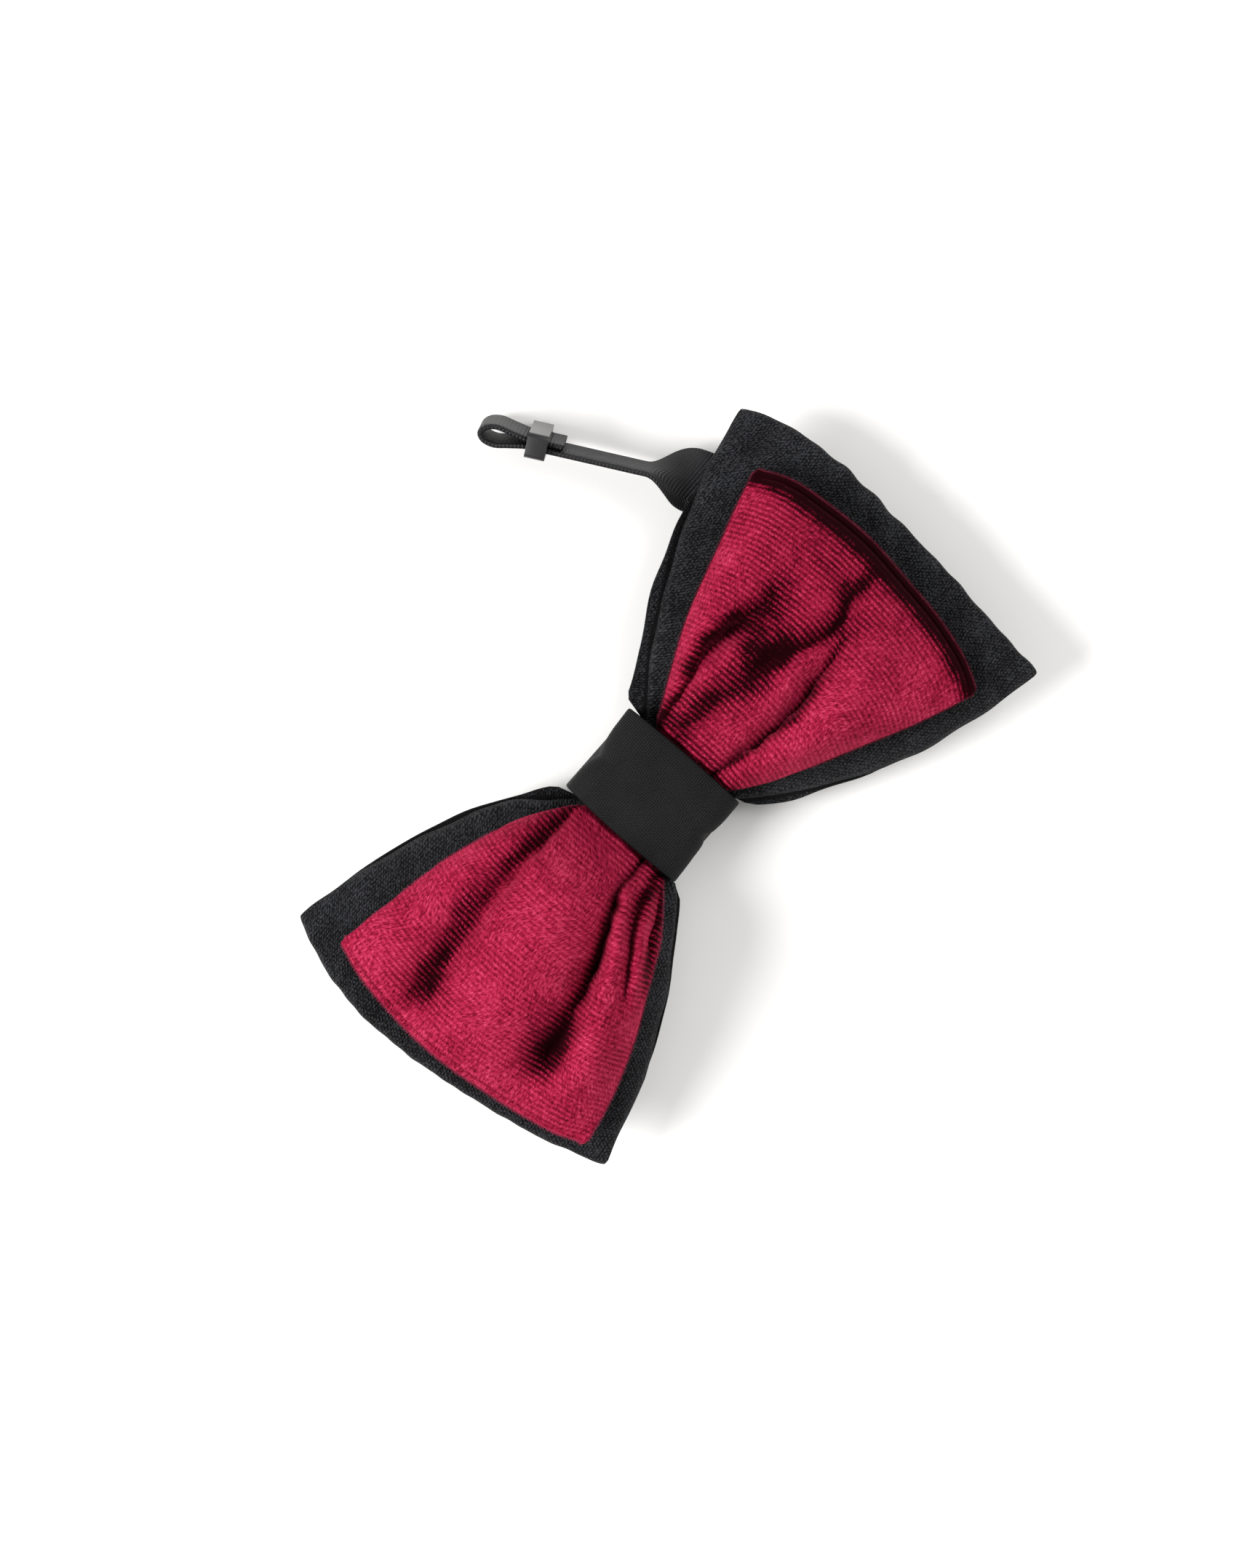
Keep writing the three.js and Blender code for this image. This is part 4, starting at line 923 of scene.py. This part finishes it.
def build_knot_wrap():
    half, mid = KNOT_HEIGHT / 2, WRAP_CLOTH / 2
    inner, outer = LAP_TOP - mid + WRAP_LAP_GAP, mid
    turn = KNOT_CORNER - mid
    path = rounded_path([
        (-half + KNOT_CORNER + 1, inner, 0), (half - mid, inner, turn),
        (half - mid, KNOT_DEPTH - mid, turn), (-half + mid, KNOT_DEPTH - mid, turn),
        (-half + mid, outer, turn), (LAP_EDGE - CLEARANCE, outer, 0),
    ], KNOT_PATH_STEP)
    reach = KNOT_HALF - mid
    x = np.linspace(-reach, reach, KNOT_COLUMNS)
    y = path[:, :1] + 0 * x
    z = path[:, 1:] + 0 * x
    top, bottom = through(KNOT_TOP, x), through(KNOT_BOTTOM, x)
    high, low = (smooth((side * y - KNOT_EDGE_FROM) / KNOT_EDGE_OVER) for side in (1, -1))
    front = smooth((z - KNOT_FRONT_FROM) / KNOT_FRONT_OVER)
    y = y + front * (high * top + low * bottom)
    face = smooth((z - (KNOT_DEPTH - KNOT_FACE_BELOW)) / KNOT_FACE_OVER)
    mid_height = 1 - (y / half) ** 2
    crown = KNOT_CROWN * (1 - (x / KNOT_HALF) ** 2) * mid_height
    z = z + face * (KNOT_UNEVEN * ripple(x + 0 * y, y, 71, 11) + crown - KNOT_SET_IN)
    wide = 1 + KNOT_WIDER * front * mid_height - KNOT_TOP_NARROWER * smooth(y / half)
    grid = np.stack([x * wide, y, z], axis=-1)
    return cloth("knot_wrap_twill", grid, WRAP_CLOTH - 2 * WRAP_LAP_GAP)


knot_wrap = stand_for(wear(build_knot_wrap(), WORSTED), "bow", "knot_wrap")

# ---- Build: neck strap -----------------------------------------------------------------
UP = np.array([0.0, 0.0, 1.0])
HALF_STRAP = STRAP_WIDTH / 2
CORNER = math.pi / 4
STRAP_PITCH = STRAP_CLOTH + CLEARANCE
FOLD_HIGH = LOWER_TOP - 9
FOLD_LOW = LOWER_BOTTOM - 8.5
RIGHT_FOLD, LEFT_FOLD = 43, 45
HOOK_LANE = STRAP_WIDTH + 1.2
BEND_STEPS = 14
STRAP_STEP = 3
ACROSS = np.linspace(1, -1, 13)


class Run:
    """A straight stretch of the flat strip: where it starts and which way it goes and faces."""

    def __init__(self, origin, along, across, normal):
        self.origin, self.along, self.across, self.normal = (
            np.array(each, float) for each in (origin, along, across, normal))


class Strip:
    """Stations along the strap, each a row of points across it and the way its face looks."""

    def __init__(self):
        self.rows, self.normals = [], []

    def station(self, centre, across, normal):
        self.rows.append(centre + np.outer(ACROSS * HALF_STRAP, across))
        self.normals.append(unit(np.broadcast_to(normal, (len(ACROSS), 3))))

    def fold(self, run, distance, turn, over, radius):
        """A half turn about a crease, which keeps the strip's length and width."""
        crease = run.origin + run.along * distance
        outward = run.along * math.cos(turn) + run.across * math.sin(turn)
        line = run.across * math.cos(turn) - run.along * math.sin(turn)
        facing = np.sign(run.normal @ over)
        for angle in np.linspace(0, math.pi, BEND_STEPS + 1):
            side = ACROSS * HALF_STRAP / math.cos(turn) - radius * angle * math.tan(turn)
            bent = outward * math.sin(angle) + over * (1 - math.cos(angle))
            self.rows.append(crease + np.outer(side, line) + radius * bent)
            face = run.normal * math.cos(angle) - facing * outward * math.sin(angle)
            self.normals.append(np.tile(face, (len(ACROSS), 1)))
        flip = np.eye(3) - 2 * np.outer(outward, outward)
        return Run(crease + 2 * radius * over + math.pi * radius * outward,
                   flip @ run.along, flip @ run.across, -run.normal)

    def fold_at(self, run, y):
        return self.fold(run, abs(y - run.origin[1]), 0, UP, STRAP_FOLD)

    def grids(self):
        return np.array(self.rows), np.array(self.normals)


def centripetal(points, count):
    """Places and headings at equal steps along a smooth curve through the points."""
    p = np.array(points, float)
    p = np.vstack([2 * p[0] - p[1], p, 2 * p[-1] - p[-2]])
    dense = []
    t = np.linspace(0, 1, 60, endpoint=False)[:, None]
    for a, b, c, d in zip(p, p[1:], p[2:], p[3:]):
        da, db, dc = (np.linalg.norm(gap) ** 0.5 for gap in (b - a, c - b, d - c))
        start = ((b - a) / da - (c - a) / (da + db) + (c - b) / db) * db
        end = ((c - b) / db - (d - b) / (db + dc) + (d - c) / dc) * db
        dense.append((2 * t**3 - 3 * t**2 + 1) * b + (t**3 - 2 * t**2 + t) * start
                     + (3 * t**2 - 2 * t**3) * c + (t**3 - t**2) * end)
    dense = np.vstack([*dense, p[-2:-1]])
    reach = np.concatenate([[0], np.cumsum(np.linalg.norm(np.diff(dense, axis=0), axis=1))])
    at = np.linspace(0, reach[-1], count)
    places = np.stack([np.interp(at, reach, dense[:, k]) for k in range(3)], axis=1)
    return places, unit(np.gradient(places, axis=0))


def folded_away(strip, side, corner_at):
    """From the knot's middle out behind a wing, round a corner and down and up once."""
    run = Run((0, 0, STRAP_LEVEL), (side, 0, 0), (0, 1, 0), UP)
    run = strip.fold(run, corner_at, CORNER, UP, STRAP_FOLD)
    return strip.fold_at(strip.fold_at(run, -FOLD_LOW), FOLD_HIGH)


# The right half goes down once more behind its wing, then up and out past its edge.
right_strip = Strip()
end_run = right_strip.fold_at(folded_away(right_strip, 1, RIGHT_FOLD), -FOLD_LOW)

# The end loop's own directions: along the strap to the loop's end, across it and out of it.
END_TILT = math.radians(77)
END_HEADING = math.radians(118.4)
END_STRAIGHT = 27
end_along = np.array([math.cos(END_HEADING), math.sin(END_HEADING), 0])
end_left = np.array([-end_along[1], end_along[0], 0])
end_across = end_left * math.cos(END_TILT) + UP * math.sin(END_TILT)
end_normal = np.cross(end_along, end_across)
SLIDE_SIDE_GAP, SLIDE_END_BAR, SLIDE_FACE = 0.4, 1.5, 0.8
SLIDE_LENGTH, SLIDE_BACK = 3.4, 9.6  # its middle lies SLIDE_BACK from the end loop's tip
SLIDE_ACROSS = STRAP_WIDTH + 2 * SLIDE_SIDE_GAP + 2 * SLIDE_END_BAR
SLIDE_THICK = STRAP_PITCH + STRAP_CLOTH + 2 * CLEARANCE + 2 * SLIDE_FACE
END_LEVEL = SLIDE_ACROSS / 2 * math.sin(END_TILT) + SLIDE_THICK / 2 * math.cos(END_TILT)
end_tip = np.array([end_run.origin[0] - 18.3, FOLD_HIGH + 38.6, END_LEVEL])


def end_point(back, out=0.0):
    return end_tip - end_along * back + end_normal * out


way_out = [end_run.origin * [1, 0, 1] + [x, FOLD_HIGH + y, z] for x, y, z in (
    (0, -4, 0), (0, 1, 0), (-0.8, 5.3, -1.0), (-2.4, 9.3, -1.4))]
way_out += [end_point(END_STRAIGHT), end_point(END_STRAIGHT - 4)]
places, headings = centripetal(way_out, 49)
for t, place, heading in zip(np.linspace(0, 1, len(places)), places, headings):
    left = unit(np.cross(UP, heading))
    tilt = END_TILT * smooth((t - 0.42) / (0.8 - 0.42))
    across = left * math.cos(tilt) + UP * math.sin(tilt)
    right_strip.station(place, across, np.cross(heading, across))

LOOP_LENGTH, LOOP_BULGE, LOOP_TIP = 7.6, 0.9, 0.7
near_side = [(LOOP_LENGTH, 0), (LOOP_LENGTH * 0.65, -LOOP_BULGE * 0.55),
             (LOOP_LENGTH * 0.33, -LOOP_BULGE), (LOOP_TIP, -LOOP_BULGE * 0.45)]
far_side = [(back, STRAP_PITCH - out) for back, out in near_side[::-1]]
profile = [(LOOP_LENGTH + 1, 0), *near_side, (0, STRAP_PITCH / 2), *far_side]
places, headings = centripetal([end_point(*each) for each in profile], 81)
past_tip = np.nonzero((places - end_tip) @ end_normal > STRAP_PITCH)[0][0] + 6
for place, heading in zip(places[:past_tip], headings[:past_tip]):
    right_strip.station(place, end_across, np.cross(heading, end_across))

# The left half turns inwards behind its wing, then down to the hook.
HOOK_BAR, HOOK_LOOSE, HOOK_BEYOND = 1.4, 0.2, 11.3
HOOK_FOLD = HOOK_BAR / 2 + CLEARANCE + HOOK_LOOSE + STRAP_CLOTH / 2
HOOK_LEVEL = CLEARANCE + STRAP_CLOTH / 2 + HOOK_FOLD
left_strip = Strip()
run = folded_away(left_strip, -1, LEFT_FOLD)
hook_run = left_strip.fold(run, run.origin[1] + HOOK_LANE, -CORNER, UP, STRAP_FOLD)
stack_edge = run.origin[0] + HALF_STRAP
hook_x = stack_edge + HOOK_BEYOND
hook_y = hook_run.origin[1]
drop = [(stack_edge + x, hook_y, mix(hook_run.origin[2], HOOK_LEVEL + HOOK_FOLD, down))
        for x, down in ((0.3, 0), (2.3, 0.24), (4.8, 0.84), (6.8, 1), (HOOK_BEYOND, 1))]
for place, heading in list(zip(*centripetal(drop, 33)))[:-1]:
    left_strip.station(place, hook_run.across, np.cross(heading, hook_run.across))
hook_end = Run(
    (hook_x, hook_y, HOOK_LEVEL + HOOK_FOLD), hook_run.along, hook_run.across, hook_run.normal)
turn_in = left_strip.fold(hook_end, 0, 0, -UP, HOOK_FOLD)
closed = [(turn_in.origin[0], hook_y, turn_in.origin[2])]
against_strap = hook_end.origin[2] - STRAP_PITCH
closed += [(hook_x - back, hook_y, mix(turn_in.origin[2], against_strap, share))
           for back, share in ((2.2, 0.2), (3.8, 0.85), (5, 1), (9, 1))]
for place, heading in list(zip(*centripetal(closed, 17)))[1:]:
    left_strip.station(place, turn_in.across, np.cross(heading, turn_in.across))


def build_neck_strap():
    left_rows, left_normals = left_strip.grids()
    right_rows, right_normals = right_strip.grids()
    # The left half was laid the other way along, so its sides stay where they are.
    grid = np.concatenate([left_rows[::-1], right_rows])
    normals = np.concatenate([left_normals[::-1], right_normals])
    # Long straight runs get stations of their own, so that no face is long and thin.
    rows, faces = [grid[0]], [normals[0]]
    for k in range(1, len(grid)):
        gap = np.linalg.norm(grid[k] - grid[k - 1], axis=1).mean()
        count = max(1, round(gap / STRAP_STEP))
        for t in np.arange(1, count + 1) / count:
            rows.append(mix(grid[k - 1], grid[k], t))
            faces.append(unit(mix(normals[k - 1], normals[k], t)))
    return cloth("neck_strap_tape", np.array(rows), STRAP_CLOTH, np.array(faces)), np.array(rows)


neck_strap, strap_rows = build_neck_strap()
stand_for(wear(neck_strap, TAPE), "bow", "neck_strap")


TAIL_LENGTH = 2.6                    # of the strap's cut end, past the slide


def build_strap_return():
    """The strap's last stretch, from the loop's turn back through the slide to its cut end."""
    strip = Strip()
    for place, heading in zip(places[past_tip - 1:], headings[past_tip - 1:]):
        strip.station(place, end_across, np.cross(heading, end_across))
    cut_end = SLIDE_BACK + SLIDE_LENGTH / 2 + TAIL_LENGTH
    for back in np.linspace(LOOP_LENGTH + CLEARANCE, cut_end, 16):
        strip.station(end_point(back, STRAP_PITCH), end_across, np.cross(-end_along, end_across))
    rows, normals = strip.grids()
    return cloth("strap_return_tape", rows, STRAP_CLOTH, normals)


strap_return = wear(build_strap_return(), TAPE)
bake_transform(strap_return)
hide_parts("strap_tail")


# ---- Build: metal fittings -------------------------------------------------------------
def softened(node, body, width_mm):
    """The CAD fitting with its stamped edges broken by a small round."""
    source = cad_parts[node]
    work = bmesh.new()
    work.from_mesh(source.data)
    bmesh.ops.remove_doubles(work, verts=work.verts, dist=1e-6)
    bmesh.ops.dissolve_limit(
        work, angle_limit=math.radians(2), verts=work.verts, edges=work.edges)
    sharp = [e for e in work.edges if e.is_manifold and e.calc_face_angle() > math.radians(35)]
    bmesh.ops.bevel(
        work, geom=sharp, offset=width_mm * MM, segments=3, profile=0.5, affect="EDGES",
        clamp_overlap=True)
    bmesh.ops.triangulate(work, faces=[f for f in work.faces if len(f.verts) > 4])
    bmesh.ops.recalc_face_normals(work, faces=work.faces)
    mesh = bpy.data.meshes.new(f"{node}_lacquered")
    work.to_mesh(mesh)
    work.free()
    for polygon in mesh.polygons:
        polygon.use_smooth = True
    mesh.set_sharp_from_angle(angle=math.radians(40))
    obj = bpy.data.objects.new(mesh.name, mesh)
    bpy.context.scene.collection.objects.link(obj)
    return stand_for(wear(obj, LACQUER), body, node)


softened("strap_slide", "slide", 0.18)
softened("strap_hook", "hook", 0.2)

# ---- Build: stitches -------------------------------------------------------------------
STITCH_LENGTH = 1.5


def stitch_group():
    """Lays a stitch on every step of a line: plump in its middle, nipped at both ends, and
    turned a little from the line by Slant, to one side and the other by turns if Zigzag."""
    tree = bpy.data.node_groups.new("row_of_stitches", "GeometryNodeTree")
    face = tree.interface
    face.new_socket("Line", in_out="INPUT", socket_type="NodeSocketGeometry")
    for label, value in (
            ("Spacing", 0.002), ("Length", 0.0015), ("Thread", 0.0002), ("Slant", 0.0),
            ("Zigzag", 0.0), ("Wander", 0.0), ("Seed", 1), ("Sides", 8)):
        number = "NodeSocketInt" if isinstance(value, int) else "NodeSocketFloat"
        face.new_socket(label, in_out="INPUT", socket_type=number).default_value = value
    face.new_socket("Material", in_out="INPUT", socket_type="NodeSocketMaterial")
    face.new_socket("Geometry", in_out="OUTPUT", socket_type="NodeSocketGeometry")
    given = add(tree, "NodeGroupInput").outputs
    ball = add(tree, "GeometryNodeMeshUVSphere", {
        "Segments": given["Sides"], "Rings": 6, "Radius": 1.0})
    half_length = add(tree, MATH, (given["Length"], 0.5), operation="MULTIPLY")
    size = add(tree, "ShaderNodeCombineXYZ", (half_length, given["Thread"], given["Thread"]))
    even = add(tree, "GeometryNodeCurveToPoints", {
        "Curve": given["Line"], "Length": given["Spacing"]}, mode="LENGTH").outputs
    index = add(tree, "GeometryNodeInputIndex")
    turned = add(tree, MATH, (index, 2.0), operation="MODULO")
    side = add(tree, MATH, (turned, -2.0, 1.0), operation="MULTIPLY_ADD")
    swing = add(tree, MATH, (side, given["Zigzag"], given["Slant"]), operation="MULTIPLY_ADD")
    other_way = add(tree, MATH, (given["Wander"], -1.0), operation="MULTIPLY")
    drift = add(tree, "FunctionNodeRandomValue", {
        2: other_way, 3: given["Wander"], "ID": index, "Seed": given["Seed"]},
        data_type="FLOAT").outputs[1]
    turn = add(tree, MATH, (swing, drift), operation="ADD")
    spin = add(tree, "ShaderNodeCombineXYZ", {2: turn})
    aligned = add(
        tree, "FunctionNodeAlignRotationToVector", {"Vector": even["Tangent"]}, axis="X")
    rotation = add(tree, "FunctionNodeRotateRotation", {
        "Rotation": aligned, "Rotate By": add(tree, "FunctionNodeEulerToRotation", (spin,))},
        rotation_space="LOCAL")
    placed = add(tree, "GeometryNodeInstanceOnPoints", {
        "Points": even["Points"], "Instance": ball, "Rotation": rotation, "Scale": size})
    real = add(tree, "GeometryNodeRealizeInstances", (placed,))
    shaded = add(tree, "GeometryNodeSetShadeSmooth", (real,))
    worn = add(tree, "GeometryNodeSetMaterial", {0: shaded, "Material": given["Material"]})
    add(tree, "NodeGroupOutput", {"Geometry": worn})
    return tree


STITCHES = stitch_group()


def stitch_row(name, points_mm, body, node, slot="black_thread", **settings):
    line = bpy.data.curves.new(name, "CURVE")
    line.dimensions = "3D"
    spline = line.splines.new("POLY")
    spline.points.add(len(points_mm) - 1)
    for spot, point in zip(spline.points, points_mm):
        spot.co = (*(np.array(point) * MM), 1)
    guide = bpy.data.objects.new(f"{name}_line", line)
    bpy.context.scene.collection.objects.link(guide)
    modifier = guide.modifiers.new("stitches", "NODES")
    modifier.node_group = STITCHES
    values = {"Thread": THREAD / 2 * MM, "Seed": 7, "Sides": 8, "Material": THREAD_BLACK}
    values.update(settings)
    for item in STITCHES.interface.items_tree:
        if item.in_out == "INPUT" and item.name in values:
            modifier[item.identifier] = values[item.name]
    guide.update_tag()
    bpy.context.view_layer.update()
    evaluated = guide.evaluated_get(bpy.context.evaluated_depsgraph_get())
    mesh = bpy.data.meshes.new_from_object(evaluated)
    bpy.data.objects.remove(guide)
    obj = bpy.data.objects.new(name, mesh)
    bpy.context.scene.collection.objects.link(obj)
    return stand_for(obj, body, node)


SUNK = 0.12                          # how far a stitch is pulled into the cloth
seam_reach = KNOT_HALF - 1.2
seam_level = WRAP_CLOTH - SUNK - 0.25
stitch_row(
    "knot_seam_stitches", [(side * seam_reach, LAP_EDGE, seam_level) for side in (-1, 1)], "bow",
    "knot_seam_thread", Spacing=1.9 * MM, Length=STITCH_LENGTH * MM, Slant=1.1, Wander=0.12)
tack_level = HOOK_LEVEL + HOOK_FOLD + STRAP_CLOTH / 2 + SUNK
stitch_row(
    "hook_end_tack", [(hook_x - 2.0, hook_y + side * 3.9, tack_level) for side in (-1, 1)], "bow",
    "hook_end_thread", Spacing=0.55 * MM, Length=1.7 * MM, Slant=math.pi / 2, Zigzag=0.32,
    Wander=0.05)


# A line of machine stitches along the right wing's upper side, sunk a little into the crepe.
TOPSTITCH_PLACES = ((41.5, 25.3), (43.6, 25.9), (46, 26.3), (49, 26.5), (52, 26.6))
topstitch_line = []
bpy.context.view_layer.update()
for x, y in TOPSTITCH_PLACES:
    place = lower_bow.ray_cast(Vector((x * MM, y * MM, 0.1)), Vector((0, 0, -1)))[1]
    topstitch_line.append(np.array(place) / MM + [0, 0, 0.02])
stitch_row("wing_topstitch", topstitch_line, "bow", None, Spacing=1.35 * MM, Length=1.0 * MM,
           Thread=0.14 * MM, Wander=0.08)


def velvet_edge(wing):
    """A line round the wing's velvet where its pile stands off the edge."""
    u = np.linspace(0.02, 1, 90)[:, None]
    v = np.linspace(1, -1, 60)[:, None]
    parts = []
    for part, out, down in (
            ("top", u, 1 + 0 * u), ("end", 1 + 0 * v, v), ("bottom", u[::-1], -1 + 0 * u)):
        x, y = upper_place(UPPER, wing, out, down, "front")
        z = np.broadcast_to(upper_front(wing, out, down), x.shape)
        if part == "end":
            low = upper_back(wing, out, down)
            x, z = x + (z - low) / 2 + UPPER_CLOTH / 2, (z + low) / 2 + 0.5
        else:
            y = y + UPPER_CLOTH / 2 * down
        parts.append(np.concatenate([wing.side * x, y, z], axis=1))
    return np.concatenate(parts)


# The right wing's fringe wears the pile's darker copy, painted shade for the side that leans away
# from the light.
for label, wing in zip(("left", "right"), UPPER.wings):
    stitch_row(
        f"velvet_pile_edge_{label}", velvet_edge(wing), "bow", None, "crimson_velvet",
        Spacing=0.17 * MM, Length=1.0 * MM, Thread=0.06 * MM, Slant=math.pi / 2, Zigzag=0.35,
        Wander=0.5, Sides=4, Material=PILE if label == "left" else PILE_IN_PAINTED_SHADE)


# ---- Inner pieces, seen only between the plies -----------------------------------------
for node, stuff in (
    ("knot_wrap_interlining", STIFF), ("lower_bow_binding_thread", THREAD_BLACK),
    ("upper_bow_binding_thread", THREAD_BLACK),
):
    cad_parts[node].data.materials.clear()
    wear(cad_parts[node], stuff)

# ---- Floor and light -------------------------------------------------------------------
# Paper card, uncoated: even, matt and nearly white.
PAPER = material(
    "paper, matt white card", grain_pattern("#ecebe9", "#f3f2f0", 30.0), Roughness=0.9,
    Specular_IOR_Level=0.2)
floor_mesh = bpy.data.meshes.new("floor")
floor_mesh.from_pydata([(-3, -3, 0), (3, -3, 0), (3, 3, 0), (-3, 3, 0)], [], [(0, 1, 2, 3)])
floor = wear(bpy.data.objects.new("floor", floor_mesh), PAPER)
bpy.context.scene.collection.objects.link(floor)


def soft_light(name, direction, elevation, distance, size, power):
    data = bpy.data.lights.new(name, "AREA")
    data.shape, data.size, data.energy = "DISK", size, power
    light = bpy.data.objects.new(name, data)
    bpy.context.scene.collection.objects.link(light)
    level = Vector((direction[0], direction[1], 0)).normalized()
    toward = level * math.cos(elevation) + Vector((0, 0, math.sin(elevation)))
    light.location = toward * distance
    light.rotation_euler = toward.to_track_quat("Z", "Y").to_euler()


soft_light("key", (-0.8, 0.6), math.radians(40), 1.1, 0.6, 16.5)
soft_light("fill", (0.9, -0.35), math.radians(42), 1.3, 1.0, 12)
world = bpy.data.worlds.new("studio")
world.use_nodes = True
world.node_tree.nodes["Background"].inputs["Color"].default_value = (1, 1, 1, 1)
world.node_tree.nodes["Background"].inputs["Strength"].default_value = 0.5
bpy.context.scene.world = world
bpy.context.scene.view_settings.view_transform = "Standard"
